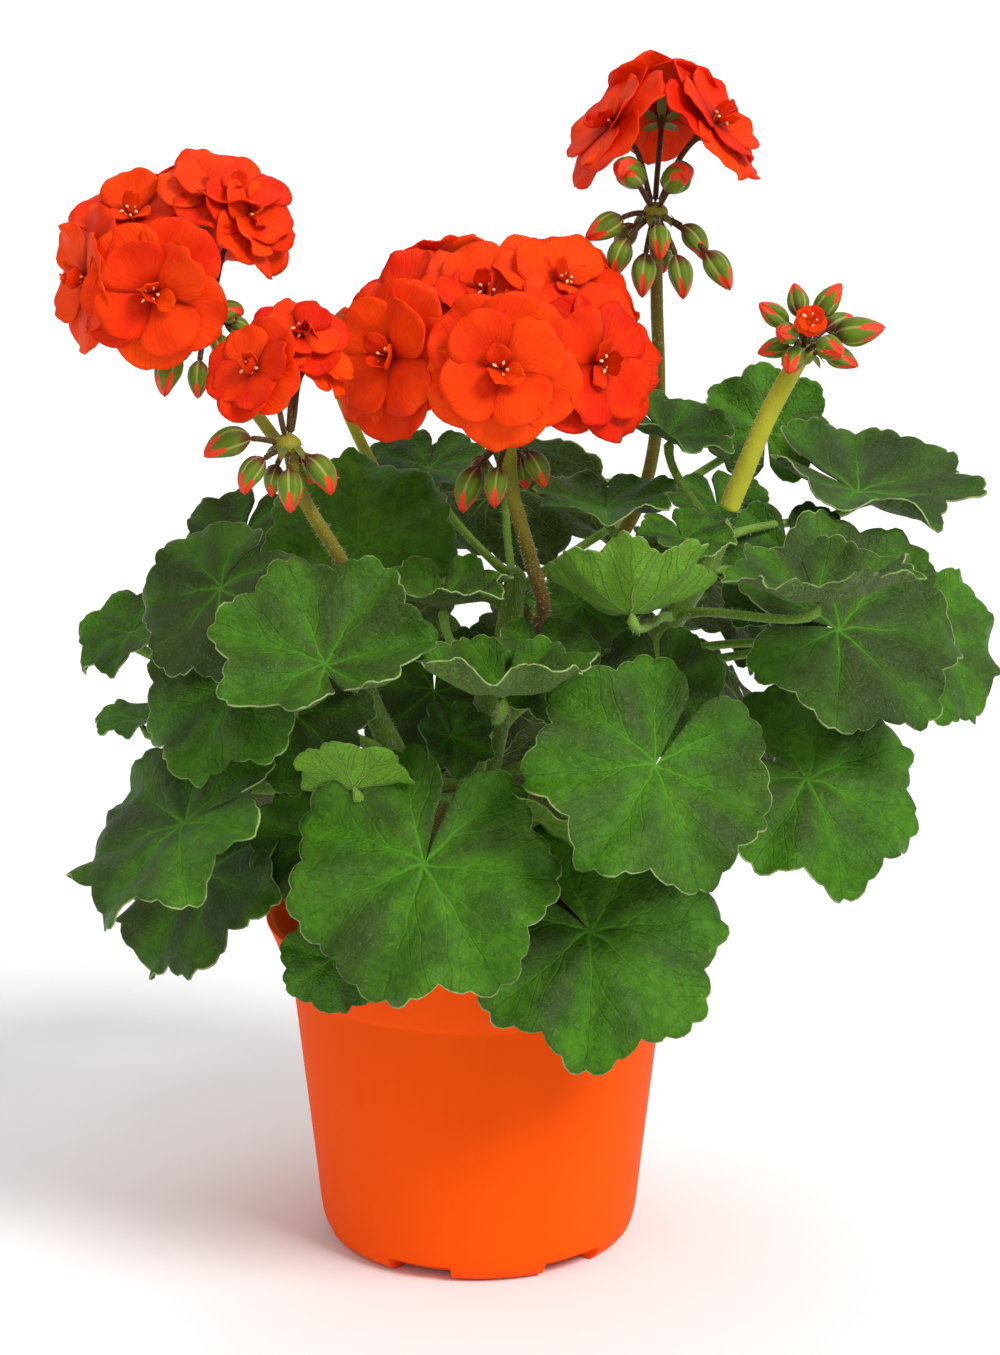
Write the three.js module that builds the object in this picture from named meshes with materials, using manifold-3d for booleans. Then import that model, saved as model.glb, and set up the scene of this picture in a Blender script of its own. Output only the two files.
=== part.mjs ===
// A zonal geranium in bloom, growing in a plain 13 cm orange plastic pot.
// Millimetres, +Z up, the origin in the middle of the pot's foot, and the plant's front towards -Y.

import * as THREE from 'three';
import { mergeVertices } from 'three/addons/utils/BufferGeometryUtils.js';
import Module from 'manifold-3d';

const wasm = await Module();
wasm.setup();

// Driving dimensions
const GAP = 0.3;
const DEGREE = Math.PI / 180;
const GOLDEN_ANGLE = 137.5;

const POT_HEIGHT = 103;
const POT_SIDES = 24;
const RIM_RADIUS = 65;
const COLLAR_FOOT = [58.3, 85];
const BODY_TOP = [57.2, 83.5];
const BODY_FOOT = [49.2, 11];
const FOOT_RADIUS = 43.8;
const WALL = 1.6;
const FLOOR = 2;
const NOTCHES = 6;
const NOTCH_TURN = -22.5;
const NOTCH_ANGLE = 24;
const NOTCH_HEIGHT = 5;
const NOTCH_INNER_RADIUS = 28;
const DRAIN_RADIUS = 3;
const DRAIN_CIRCLE = 36;

const SOIL_TOP = 91;
const SOIL_CROWN = 2;

const BLADE_THICKNESS = 0.8;
const LOBES = 7;
const SMALL_LEAF = 24.5;
const SMALL_LEAF_LOBES = 5;
const MARGIN_TURN = 350;
const INNER_RING = 0.55;
const CREST = 1.02;
const CREST_PLACES = [0.26, 0.74];
const NOTCH_DEPTH = 0.13;
const HUB_OFFSET = 0.1;
const WIDENING = 0.06;
const BLADE_WAVE = 0.05;
const BLADE_WAVES = 5;
const STEM_SIDES = 6;
const PETIOLE_HALF = 1.1;
const PETIOLE_SET = 1.8;
const PETIOLE_DIP = 14;
const PETIOLE_REACH = 0.2;
const PETIOLE_RISE = 0.16;
const PETIOLE_STEPS = 3;
const STALK_SIDES = 5;
const PETAL_THICKNESS = 0.7;
const PEDICEL_RADIUS = 0.75;
const KNOB_RADIUS = 3.6;
const KNOB_PROFILE = [[0, -4], [2.8, -2.2], [KNOB_RADIUS, 0.8], [0, 3.4]];
const PEDICEL_ARCH = 0.15;
const CALYX_LENGTH = 6;
const CALYX_RADIUS = 2.2;
const BUD_SLENDERNESS = 1.7;

// Each stem rises from the soil along its path. Its leaves leave it at the fraction `at` of its length.
// A leaf's blade faces the compass angle `face` (0 is the front, 90 the plant's left as it looks out),
// tips over by `tilt` from level, and points its middle lobe down the slope, turned by `spin`.
// Its margin bends by `bend` degrees at the tip, right, back and left, upwards where positive.
const STEMS = {
  centre: {
    path: [[0, -4, 60], [0, -5, 110], [-2, -10, 150], [6, -22, 188]],
    radius: 4.2,
    leaves: [
      { at: 0.52, hub: [-15, -86, 146], face: -8, tilt: 58, spin: -14, size: 38.5, bend: [-12, -8, 5, -5] },
      { at: 0.44, hub: [33, -74, 122], face: 10, tilt: 54, spin: 44, size: 38, bend: [-15, -15, 0, -10] },
      { at: 0.8, hub: [8, -80, 196], face: -5, tilt: 5, spin: 0, size: 27, bend: [65, 40, 55, 50] },
      { at: 0.9, hub: [-10, -44, 213], face: 0, tilt: 8, spin: 0, size: 20, bend: [55, 40, 65, 35] },
      { at: 0.6, hub: [-35, -73, 166], face: 172, tilt: 50, spin: 168, size: 16.5, bend: [20, 20, 0, 20] },
      { at: 0.62, hub: [-7, -58, 176], face: 20, tilt: 60, spin: 0, size: 12, bend: [10, 55, 0, 55] },
      { at: 0.4, hub: [-42, -71, 112], face: -12, tilt: 74, spin: 0, size: 16, bend: [-20, 0, 0, 0] },
      { at: 0.93, hub: [19, -58, 198], face: 15, tilt: 52, spin: 0, size: 17, bend: [-10, 10, 0, 10] },
      { at: 0.85, hub: [31, -16, 204], face: 10, tilt: 72, spin: 0, size: 16, bend: [-10, 10, 0, 10] },
      { at: 0.5, hub: [16, -66, 155], face: 129, tilt: 40, spin: 0, size: 18, bend: [0, 10, 0, 10] },
    ],
  },
  left: {
    path: [[-12, 2, 60], [-14, 2, 110], [-24, -4, 150], [-38, -18, 186]],
    radius: 3.8,
    leaves: [
      { at: 0.86, hub: [-43, -81, 204], face: 0, tilt: 50, spin: -160, size: 31, bend: [10, 30, 110, 15] },
      { at: 0.92, hub: [-75, -46, 217], face: -40, tilt: 54, spin: -20, size: 27, bend: [-10, 0, -45, 0] },
      { at: 0.72, hub: [-69, -52, 191], face: -30, tilt: 42, spin: -55, size: 31, bend: [-15, 0, 10, 0] },
      { at: 0.55, hub: [-86, -62, 151], face: -56, tilt: 32, spin: -45, size: 35, bend: [-15, -5, 10, 20] },
      { at: 0.45, hub: [-81, -40, 129], face: -52, tilt: 46, spin: -12, size: 33, bend: [-20, 0, 0, 0] },
      { at: 0.7, hub: [-106, 8, 190], face: -45, tilt: 30, spin: -25, size: 17, bend: [-20, 15, 0, 20] },
      { at: 0.62, hub: [-104, 22, 159], face: -60, tilt: 3, spin: 0, size: 14, bend: [-15, 10, 0, 10] },
      { at: 0.8, hub: [-71, -2, 222], face: -40, tilt: 45, spin: 0, size: 19, bend: [-10, 20, 10, 20] },
      { at: 0.9, hub: [-35, -22, 224], face: 0, tilt: 58, spin: 180, size: 28.5, bend: [-15, -10, 20, -10] },
      { at: 0.62, hub: [-54, -34, 176], face: -10, tilt: 52, spin: 0, size: 23, bend: [-10, 0, 0, 0] },
      { at: 0.5, hub: [-48, -54, 143], face: -15, tilt: 60, spin: 0, size: 20, bend: [-10, 0, 0, 0] },
    ],
  },
  right: {
    path: [[12, 2, 60], [16, 2, 110], [36, -8, 158], [56, -20, 198], [73, -29, 234]],
    radius: 4.4,
    leaves: [
      { at: 0.5, hub: [51, -84, 175], face: 14, tilt: 56, spin: -38, size: 35.5, bend: [15, -5, 5, 5] },
      { at: 0.46, hub: [97, -50, 161], face: 20, tilt: 47, spin: 55, size: 34.5, bend: [-15, -10, 0, 0] },
      { at: 0.66, hub: [106, -38, 203], face: 20, tilt: 48, spin: 80, size: 35, bend: [0, 15, 0, 10] },
      { at: 0.8, hub: [97, -70, 221], face: 10, tilt: 8, spin: 10, size: 28, bend: [65, 35, 40, 40] },
      { at: 0.88, hub: [93, -14, 217], face: 10, tilt: 50, spin: 0, size: 24, bend: [-10, -10, 0, -10] },
      { at: 0.7, hub: [138, 2, 190], face: 45, tilt: 55, spin: 20, size: 27, bend: [-20, 0, 0, 0] },
      { at: 0.93, hub: [115, 16, 232], face: 50, tilt: 17, spin: 30, size: 34, bend: [35, 25, 35, 30] },
      { at: 0.56, hub: [53, -50, 190], face: 10, tilt: 58, spin: 0, size: 20, bend: [-10, -10, 0, -10] },
      { at: 0.97, hub: [60, -38, 231], face: 30, tilt: 18, spin: 0, size: 14, bend: [10, 25, 10, 25] },
      { at: 0.8, hub: [44, -62, 215], face: 180, tilt: 30, spin: 180, size: 26, bend: [60, 60, 35, 60] },
      { at: 0.84, hub: [38, -10, 233], face: 0, tilt: 8, spin: 0, size: 21, bend: [25, 30, 25, 30] },
      { at: 0.97, hub: [56, -8, 254.5], face: 60, tilt: 24, spin: 0, size: 19, bend: [35, 40, 30, 40] },
      { at: 0.9, hub: [73, 20, 226], face: 20, tilt: 35, spin: 0, size: 16, bend: [0, 20, 0, 20] },
    ],
  },
  back: {
    path: [[0, 14, 60], [0, 16, 110], [6, 24, 160], [12, 28, 205]],
    radius: 3.8,
    leaves: [
      { at: 0.93, hub: [89, 52, 242], face: 0, tilt: 58, spin: 180, size: 20, bend: [10, 10, 0, 10] },
      { at: 0.5, hub: [-14, 36, 163], face: -5, tilt: 64, spin: 0, size: 24, bend: [-10, 0, 0, 0] },
      { at: 0.96, hub: [-15, 32, 236], face: -10, tilt: 20, spin: 0, size: 18, bend: [10, 20, 30, 20] },
      { at: 0.9, hub: [-52, 52, 214], face: -140, tilt: 42, spin: 10, size: 34, bend: [-20, -10, 0, -10] },
      { at: 0.94, hub: [8, 76, 220], face: 175, tilt: 45, spin: -15, size: 36, bend: [-20, -10, 0, -10] },
      { at: 0.85, hub: [74, 62, 192], face: 130, tilt: 50, spin: 0, size: 32, bend: [-20, -10, 0, -10] },
      { at: 0.6, hub: [-38, 76, 168], face: -155, tilt: 55, spin: 20, size: 37, bend: [-25, -10, 0, -10] },
      { at: 0.62, hub: [34, 84, 164], face: 160, tilt: 56, spin: -10, size: 38, bend: [-25, -10, 0, -10] },
      { at: 0.54, hub: [86, 36, 154], face: 110, tilt: 58, spin: 10, size: 34, bend: [-25, -10, 0, -10] },
      { at: 0.5, hub: [-76, 46, 132], face: -120, tilt: 60, spin: 0, size: 35, bend: [-25, -10, 0, -10] },
      { at: 0.44, hub: [2, 76, 124], face: 178, tilt: 64, spin: 0, size: 35, bend: [-20, -10, 0, -10] },
    ],
  },
};

// Each flower stalk leaves its stem, widens to a knob and carries florets and buds on thin pedicels.
// A floret's disc faces the way a leaf's blade does. A bud hangs, or points along its own direction.
const UMBELS = {
  left: {
    stem: 'left',
    stalk: [[-39, -15, 184], [-45, 3, 212], [-51, 5, 236], [-62, -10, 256], [-72, -26, 276], [-78, -30, 292]],
    radius: 1.9,
    florets: [
      { hub: [-91, -54, 304], face: -8, tilt: 80, spin: 0, size: 23 },
      { hub: [-111, -38, 306], face: -66, tilt: 80, spin: 10, size: 22 },
      { hub: [-99, -21, 320], face: -30, tilt: 28, spin: 0, size: 22 },
      { hub: [-72, -20, 327], face: 30, tilt: 25, spin: 30, size: 22 },
      { hub: [-65, -26, 320], face: 62, tilt: 60, spin: 0, size: 18 },
      { hub: [-84, 0, 316], face: 180, tilt: 60, spin: 0, size: 22 },
    ],
    buds: [
      { at: [-89, -48, 280], size: 7.6 },
      { at: [-80, -42, 277], size: 6.2 },
      { at: [-68, -30, 299], size: 6.6 },
      { at: [-72, -36, 284], size: 5.8 },
      { at: [-67, -24, 290], size: 5.5 },
    ],
  },
  low: {
    stem: 'left',
    stalk: [[-37, -20, 185], [-32, -44, 204], [-37, -54, 223], [-50, -68, 251], [-53, -70, 265]],
    radius: 2,
    florets: [
      { hub: [-61, -84.5, 288.5], face: -35, tilt: 60, spin: 0, size: 16.5 },
      { hub: [-49, -72, 296], face: 20, tilt: 38, spin: 20, size: 14.5 },
      { hub: [-43, -66, 289], face: 78, tilt: 60, spin: 0, size: 14 },
    ],
    buds: [
      { at: [-71, -74, 266], size: 8, aim: [-0.7, -0.4, -0.5] },
      { at: [-65, -76, 257], size: 6.6 },
      { at: [-58, -66, 253], size: 5.5 },
      { at: [-52, -80, 253], size: 7 },
      { at: [-47, -62, 256], size: 5.8 },
      { at: [-41, -74, 257], size: 7.3 },
    ],
  },
  centre: {
    stem: 'centre',
    stalk: [[6, -23, 187], [19, -34, 205], [15, -39, 225], [10, -41, 245], [9, -40, 261]],
    radius: 2.2,
    florets: [
      { hub: [7, -69, 285.5], face: 0, tilt: 80, spin: 0, size: 24 },
      { hub: [34.5, -53, 284], face: 42, tilt: 80, spin: 10, size: 24.5 },
      { hub: [-24, -54, 286], face: -40, tilt: 76, spin: 20, size: 24.5 },
      { hub: [-19, -34, 298], face: -40, tilt: 38, spin: 0, size: 22.5 },
      { hub: [3, -40, 301], face: 0, tilt: 40, spin: 0, size: 22 },
      { hub: [25, -32, 302.5], face: 35, tilt: 35, spin: 10, size: 23 },
      { hub: [-10, -4, 298], face: -150, tilt: 50, spin: 0, size: 23 },
      { hub: [26, -4, 296], face: 150, tilt: 52, spin: 0, size: 23 },
    ],
    buds: [
      { at: [-4, -48, 246], size: 7.6 },
      { at: [5, -54, 248], size: 6.6 },
      { at: [19, -46, 252], size: 6.6 },
      { at: [14, -28, 247], size: 6.2 },
      { at: [0, -26, 247], size: 5.8 },
    ],
  },
  tall: {
    stem: 'back',
    stalk: [[13, 28, 188], [32, 30, 200], [48, 28, 222], [54, 22, 250], [53, 6, 292], [52, 0, 319]],
    radius: 2,
    florets: [
      { hub: [39.5, -6, 345], face: -75, tilt: 50, spin: 0, size: 22.5 },
      { hub: [68.5, -4, 345], face: 75, tilt: 50, spin: 20, size: 22.5 },
      { hub: [54, 13, 347], face: 180, tilt: 58, spin: 0, size: 21 },
    ],
    buds: [
      { at: [41, -16, 338], size: 8.2 },
      { at: [61, -15, 337], size: 8.2 },
      { at: [37, -8, 315], size: 7.3, aim: [-1, -0.2, -0.5] },
      { at: [40, -11, 307], size: 7 },
      { at: [48, -15, 302], size: 7 },
      { at: [53, -18, 313], size: 6.2 },
      { at: [60, -12, 301], size: 7 },
      { at: [66, -5, 311], size: 6.6 },
      { at: [71, -10, 303], size: 7.3, aim: [0.5, -0.1, -1] },
      { at: [42, 5, 310], size: 6.2 },
      { at: [55, 10, 304], size: 6.2 },
    ],
  },
  budding: {
    stem: 'right',
    stalk: [[73, -29, 235.5], [77, -30, 246], [84, -31, 264], [94, -30, 283]],
    radius: 2.9,
    florets: [
      { hub: [95, -46, 295], face: 0, tilt: 70, spin: 0, size: 5 },
    ],
    buds: [
      { at: [85, -35, 295], size: 6.2, aim: [-0.8, -0.2, 0.6] },
      { at: [85, -36, 285], size: 5.8, aim: [-0.9, -0.4, -0.2] },
      { at: [90, -42, 283], size: 6.6, aim: [-0.2, -0.8, -0.5] },
      { at: [88, -44, 291], size: 6.2, aim: [-0.4, -0.9, 0.2] },
      { at: [101, -34, 299], size: 6.6, aim: [0.6, 0, 0.8] },
      { at: [101, -46, 287], size: 7, aim: [0.4, -0.9, -0.1] },
      { at: [110, -36, 290], size: 8.2, aim: [1, -0.1, 0.2] },
      { at: [105, -34, 282], size: 6.2, aim: [0.8, -0.3, -0.4] },
      { at: [93, -20, 296], size: 6.2, aim: [-0.2, 0.5, 0.9] },
      { at: [105, -22, 290], size: 6.2, aim: [0.8, 0.6, 0.2] },
    ],
  },
  rear: {
    stem: 'back',
    stalk: [[8, 27, 198], [-6, 25, 206], [-23, 20, 224], [-33, 17, 241], [-43, 12, 268], [-43, 10, 277]],
    radius: 1.8,
    florets: [],
    buds: [
      { at: [-40, 7, 285], size: 5.2, aim: [0.2, -0.2, 1] },
      { at: [-48, 7, 283], size: 5.2, aim: [-0.7, -0.3, 0.6] },
      { at: [-49, 13, 278], size: 5, aim: [-0.9, 0.3, 0] },
      { at: [-37, 14, 281], size: 5.2, aim: [0.7, 0.4, 0.4] },
      { at: [-44, 18, 281], size: 5.2, aim: [-0.1, 0.9, 0.4] },
      { at: [-38, 4, 277], size: 5, aim: [0.5, -0.8, 0] },
    ],
  },
};

// Materials
const finish = (color, roughness) => new THREE.MeshStandardMaterial({ color, roughness, metalness: 0 });
const potPlastic = finish(0xff5a0a, 0.45);
const pottingSoil = finish(0x2a1c12, 0.95);
const leafGreen = finish(0x3f7f24, 0.6);
const stalkGreen = finish(0x6f8a34, 0.55);
const petalRed = finish(0xf5330c, 0.5);

const UP = new THREE.Vector3(0, 0, 1);
const vector = (coordinates) => new THREE.Vector3(...coordinates);

// Any closed geometry as a solid that can be joined and cut.
function solidOf(geometry) {
  geometry.deleteAttribute('normal');
  geometry.deleteAttribute('uv');
  const merged = mergeVertices(geometry, 1e-4);
  const mesh = { numProp: 3, vertProperties: merged.attributes.position.array, triVerts: merged.index.array };
  return new wasm.Manifold(new wasm.Mesh(mesh));
}

function solidFrom(points, index) {
  const geometry = new THREE.BufferGeometry();
  const coordinates = points.flatMap((point) => point.toArray());
  geometry.setAttribute('position', new THREE.Float32BufferAttribute(coordinates, 3));
  geometry.setIndex(index);
  return solidOf(geometry);
}

const join = (solids) => wasm.Manifold.union(solids);

// A round bar of a few sides along a curve.
function bar(curve, radius, sides, steps) {
  const section = new THREE.Shape();
  for (let i = 0; i < sides; i += 1) {
    const angle = (i / sides) * 2 * Math.PI;
    const corner = [radius * Math.cos(angle), radius * Math.sin(angle)];
    if (i === 0) section.moveTo(...corner);
    else section.lineTo(...corner);
  }
  section.closePath();
  return solidOf(new THREE.ExtrudeGeometry(section, { steps, bevelEnabled: false, extrudePath: curve }));
}

// A slender shape of four sides along a curve, from a list of [share of the curve, radius].
function slender(curve, stations) {
  const { normals, binormals } = curve.computeFrenetFrames(100);
  const rings = stations.map(([share, radius]) => {
    const frame = Math.round(share * 100);
    const centre = curve.getPointAt(share);
    return [[1, 0], [0, 1], [-1, 0], [0, -1]].map(([across, over]) => centre.clone()
      .addScaledVector(normals[frame], across * radius)
      .addScaledVector(binormals[frame], over * radius));
  });
  const index = [];
  for (let i = 0; i + 1 < rings.length; i += 1) {
    for (let j = 0; j < 4; j += 1) {
      const [a, b] = [4 * i + j, 4 * i + ((j + 1) % 4)];
      index.push(a, b, b + 4, a, b + 4, a + 4);
    }
  }
  const last = 4 * (rings.length - 1);
  index.push(0, 2, 1, 0, 3, 2, last, last + 1, last + 2, last, last + 2, last + 3);
  return solidFrom(rings.flat(), index);
}

// An upright turned shape from a list of [radius, height], moved to its middle.
function turned(profile, sides, middle = new THREE.Vector3()) {
  const geometry = new THREE.LatheGeometry(profile.map((point) => new THREE.Vector2(...point)), sides);
  geometry.rotateX(Math.PI / 2);
  geometry.translate(...middle);
  return solidOf(geometry);
}

// A thin sheet between a top and a bottom layer of points, with its faces and the loop round its edge.
function sheet(top, bottom, faces, loop) {
  const count = top.length;
  const index = [];
  for (const [a, b, c] of faces) {
    index.push(a, b, c, count + a, count + c, count + b);
  }
  loop.forEach((a, i) => {
    const b = loop[(i + 1) % loop.length];
    index.push(a, count + a, count + b, a, count + b, b);
  });
  return solidFrom([...top, ...bottom], index);
}

// The directions of a blade or disc: out of its face, along its middle and to its side.
function directionsOf({ face, tilt, spin }) {
  const [f, t, s] = [face * DEGREE, tilt * DEGREE, spin * DEGREE];
  const normal = new THREE.Vector3(Math.sin(t) * Math.sin(f), -Math.sin(t) * Math.cos(f), Math.cos(t));
  const downhill = new THREE.Vector3(Math.cos(t) * Math.sin(f), -Math.cos(t) * Math.cos(f), -Math.sin(t));
  const across = normal.clone().cross(downhill);
  const along = downhill.multiplyScalar(Math.cos(s)).addScaledVector(across, Math.sin(s));
  return { normal, along, side: normal.clone().cross(along) };
}

// The reach of a leaf's margin from its hub at an angle from the middle lobe.
function marginReach(size, angle) {
  const round = HUB_OFFSET * Math.cos(angle) + Math.sqrt(1 - (HUB_OFFSET * Math.sin(angle)) ** 2);
  const wide = 1 + WIDENING * Math.sin(angle) ** 2;
  return size * round * wide;
}

// A point on a leaf's bent blade, at an angle and a reach from the hub, lifted off its middle surface.
function onBlade(leaf, phase, angle, reach, lift) {
  const { normal, along, side } = directionsOf(leaf);
  const [tip, right, back, left] = leaf.bend;
  const [ahead, beside] = [Math.cos(angle), Math.sin(angle)];
  const bend = (ahead > 0 ? tip : back) * ahead ** 2 + (beside > 0 ? right : left) * beside ** 2;
  const curvature = ((bend || 0.1) * DEGREE) / leaf.size;
  const turn = curvature * reach;
  const wave = BLADE_WAVE * leaf.size * (reach / leaf.size) ** 3 * Math.sin(BLADE_WAVES * angle + phase);
  const outward = along.clone().multiplyScalar(ahead).addScaledVector(side, beside);
  const skin = normal.clone().multiplyScalar(Math.cos(turn)).addScaledVector(outward, -Math.sin(turn));
  return vector(leaf.hub)
    .addScaledVector(outward, Math.sin(turn) / curvature)
    .addScaledVector(normal, (1 - Math.cos(turn)) / curvature + wave)
    .addScaledVector(skin, lift);
}

// A petiole's path, from the back of the blade's hub down to inside its stem.
function petiolePath(leaf, stemPath) {
  const { normal, along } = directionsOf(leaf);
  const root = stemPath.getPointAt(leaf.at);
  const hub = vector(leaf.hub)
    .addScaledVector(along, PETIOLE_SET)
    .addScaledVector(normal, -BLADE_THICKNESS / 2);
  const length = hub.distanceTo(root);
  const level = new THREE.Vector3(hub.x - root.x, hub.y - root.y, 0).normalize();
  const last = root.clone()
    .addScaledVector(level, PETIOLE_REACH * length)
    .addScaledVector(UP, PETIOLE_RISE * length);
  const first = hub.clone().addScaledVector(normal, -Math.min(0.3 * length, PETIOLE_DIP));
  return new THREE.CubicBezierCurve3(hub, first, last, root);
}

// A leaf in one sheet: a round blade of seven scalloped lobes, slit from its back edge to the hub,
// and a four-sided petiole that grows out of its underside in front of the slit.
function leafSolid(leaf, phase, stemPath) {
  const places = [[0, 0]];
  const ring = [];
  const margin = [];
  const lobes = leaf.size < SMALL_LEAF ? SMALL_LEAF_LOBES : LOBES;
  const lobeAngle = (lobe) => (lobe / lobes - 0.5) * MARGIN_TURN * DEGREE;
  for (let lobe = 0; lobe <= lobes; lobe += 1) {
    ring.push(places.length);
    places.push([lobeAngle(lobe), marginReach(leaf.size, lobeAngle(lobe)) * INNER_RING]);
  }
  for (let lobe = 0; lobe <= lobes; lobe += 1) {
    margin.push(places.length);
    places.push([lobeAngle(lobe), marginReach(leaf.size, lobeAngle(lobe)) * (1 - NOTCH_DEPTH)]);
    for (const part of lobe < lobes ? CREST_PLACES : []) {
      margin.push(places.length);
      places.push([lobeAngle(lobe + part), marginReach(leaf.size, lobeAngle(lobe + part)) * CREST]);
    }
  }
  const layer = (lift) => places.map(([angle, reach]) => onBlade(leaf, phase, angle, reach, lift));
  const points = [...layer(BLADE_THICKNESS / 2), ...layer(-BLADE_THICKNESS / 2)];
  const count = places.length;
  const index = [];
  for (let lobe = 0; lobe < lobes; lobe += 1) {
    const [m0, m1, m2, m3] = margin.slice(3 * lobe, 3 * lobe + 4);
    const [r0, r1] = [ring[lobe], ring[lobe + 1]];
    index.push(0, r0, r1);
    for (const [a, b, c] of [[r0, m0, m1], [r0, m1, r1], [r1, m1, m2], [r1, m2, m3]]) {
      index.push(a, b, c, count + a, count + c, count + b);
    }
  }
  const loop = [0, ring[0], ...margin, ring[lobes]];
  loop.forEach((a, i) => {
    const b = loop[(i + 1) % loop.length];
    index.push(a, count + a, count + b, a, count + b, b);
  });

  const curve = petiolePath(leaf, stemPath);
  const across = directionsOf(leaf).along;
  const corners = [[-1, 1], [1, 1], [1, -1], [-1, -1]];
  const start = points.length;
  for (let step = 0; step <= PETIOLE_STEPS; step += 1) {
    const tangent = curve.getTangent(step / PETIOLE_STEPS);
    across.addScaledVector(tangent, -across.dot(tangent)).normalize();
    const over = tangent.clone().cross(across);
    for (const [a, b] of corners) {
      points.push(curve.getPoint(step / PETIOLE_STEPS)
        .addScaledVector(across, a * PETIOLE_HALF)
        .addScaledVector(over, b * PETIOLE_HALF));
    }
  }
  const nearest = (i) => start + (i === 0 ? 0 : Math.floor(2 * places[i][0] / Math.PI + 2));
  [0, ...ring].forEach((a, i) => {
    const b = [...ring, 0][i];
    index.push(count + b, count + a, nearest(a));
    if (nearest(b) !== nearest(a)) index.push(count + b, nearest(a), nearest(b));
  });
  for (let step = 0; step < PETIOLE_STEPS; step += 1) {
    for (let j = 0; j < 4; j += 1) {
      const [a, b] = [start + 4 * step + j, start + 4 * step + ((j + 1) % 4)];
      index.push(a, a + 4, b + 4, a, b + 4, b);
    }
  }
  const end = start + 4 * PETIOLE_STEPS;
  index.push(end, end + 2, end + 1, end, end + 3, end + 2);
  return solidFrom(points, index);
}

const stemSteps = (path) => 2 * path.length;

function stemSolids({ path, radius, leaves }) {
  const curve = new THREE.CatmullRomCurve3(path.map(vector));
  const solids = [bar(curve, radius, STEM_SIDES, stemSteps(path))];
  leaves.forEach((leaf, i) => {
    solids.push(leafSolid(leaf, i * GOLDEN_ANGLE * DEGREE, curve));
  });
  return solids;
}

// The petals of a floret in their order round its throat, each with its outline as shares of its length,
// its width and its lift. One side of a broad petal lies over the next, and small petals stand between.
const BROAD_PETAL = [[0.6, -0.49, -0.05], [0.96, -0.25, 0], [0.96, 0.25, 0], [0.6, 0.49, 0.05]];
const SMALL_PETAL = [[0.6, -0.45, 0], [1, 0, 0], [0.6, 0.45, 0]];
const PETALS = [0, 72, 144, 216, 288]
  .map((angle) => ({ angle, outline: BROAD_PETAL, length: 1, rise: 8, root: 22 }))
  .concat([36].map((angle) => ({ angle, outline: SMALL_PETAL, length: 0.6, rise: 38, root: 10 })))
  .sort((a, b) => a.angle - b.angle);
const THROAT = 0.1;
const OPENING_BUD = 8;
const OPENING_WIDTH = 0.7;

// A floret as one thin sheet, cut between its petals down to the throat. An opening bud has only its
// broad petals, and they are narrow, so that none runs into the next.
function floretSolid(floret) {
  const { size } = floret;
  const opening = size < OPENING_BUD;
  const petals = PETALS.filter(({ outline }) => !opening || outline === BROAD_PETAL);
  const width = opening ? OPENING_WIDTH : 1;
  const { normal, along, side } = directionsOf(floret);
  const hub = vector(floret.hub);
  const outwardAt = (angle) =>
    along.clone().multiplyScalar(Math.cos(angle * DEGREE)).addScaledVector(side, Math.sin(angle * DEGREE));
  const places = [{ point: hub, skin: normal }];
  const ring = [];
  const faces = [];
  const loop = [];
  for (const { angle, outline, length, rise, root } of petals) {
    const outward = outwardAt(angle);
    const sideways = normal.clone().cross(outward);
    const [level, upright] = [Math.cos(rise * DEGREE), Math.sin(rise * DEGREE)];
    const rib = outward.multiplyScalar(level).addScaledVector(normal, upright);
    const skin = rib.clone().cross(sideways);
    const first = places.length;
    const corners = outline.map(([reach, across, lift]) => hub.clone()
      .addScaledVector(rib, reach * length * size)
      .addScaledVector(sideways, across * width * length * size)
      .addScaledVector(skin, lift * size));
    const roots = [angle - root, angle + root]
      .map((turn) => hub.clone().addScaledVector(outwardAt(turn), THROAT * size));
    for (const point of [roots[0], ...corners, roots[1]]) places.push({ point, skin });
    const last = places.length - 1;
    ring.push(first, last);
    for (let i = first; i <= last; i += 1) loop.push(i);
    faces.push([first, first + 1, last - 1], [first, last - 1, last]);
    for (let i = first + 2; i < last - 1; i += 1) faces.push([first + 1, i, i + 1]);
  }
  ring.forEach((a, i) => faces.push([0, a, ring[(i + 1) % ring.length]]));
  const layer = (lift) => places.map(({ point, skin }) => point.clone().addScaledVector(skin, lift));
  return sheet(layer(PETAL_THICKNESS / 2), layer(-PETAL_THICKNESS / 2), faces, loop);
}

// A pedicel that springs from an umbel's knob and ends along a direction, as a curve.
function pedicel(knob, end, aim) {
  const outward = end.clone().sub(knob);
  const length = outward.length();
  outward.normalize();
  return new THREE.CubicBezierCurve3(
    knob.clone().addScaledVector(outward, KNOB_RADIUS - 1.2),
    knob.clone().addScaledVector(outward, 0.4 * length).addScaledVector(UP, PEDICEL_ARCH * length),
    end.clone().addScaledVector(aim, -0.4 * length),
    end,
  );
}

// A floret's pedicel, widening at its end into the calyx that the petals stand in.
function calyxSolid(floret, knob) {
  const { normal } = directionsOf(floret);
  const end = vector(floret.hub).addScaledVector(normal, -1 - GAP);
  const curve = pedicel(knob, end, normal);
  const calyx = 1 - CALYX_LENGTH / curve.getLength();
  const thin = [0, calyx / 2, calyx].map((share) => [share, PEDICEL_RADIUS]);
  return slender(curve, [...thin, [1, CALYX_RADIUS]]);
}

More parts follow.
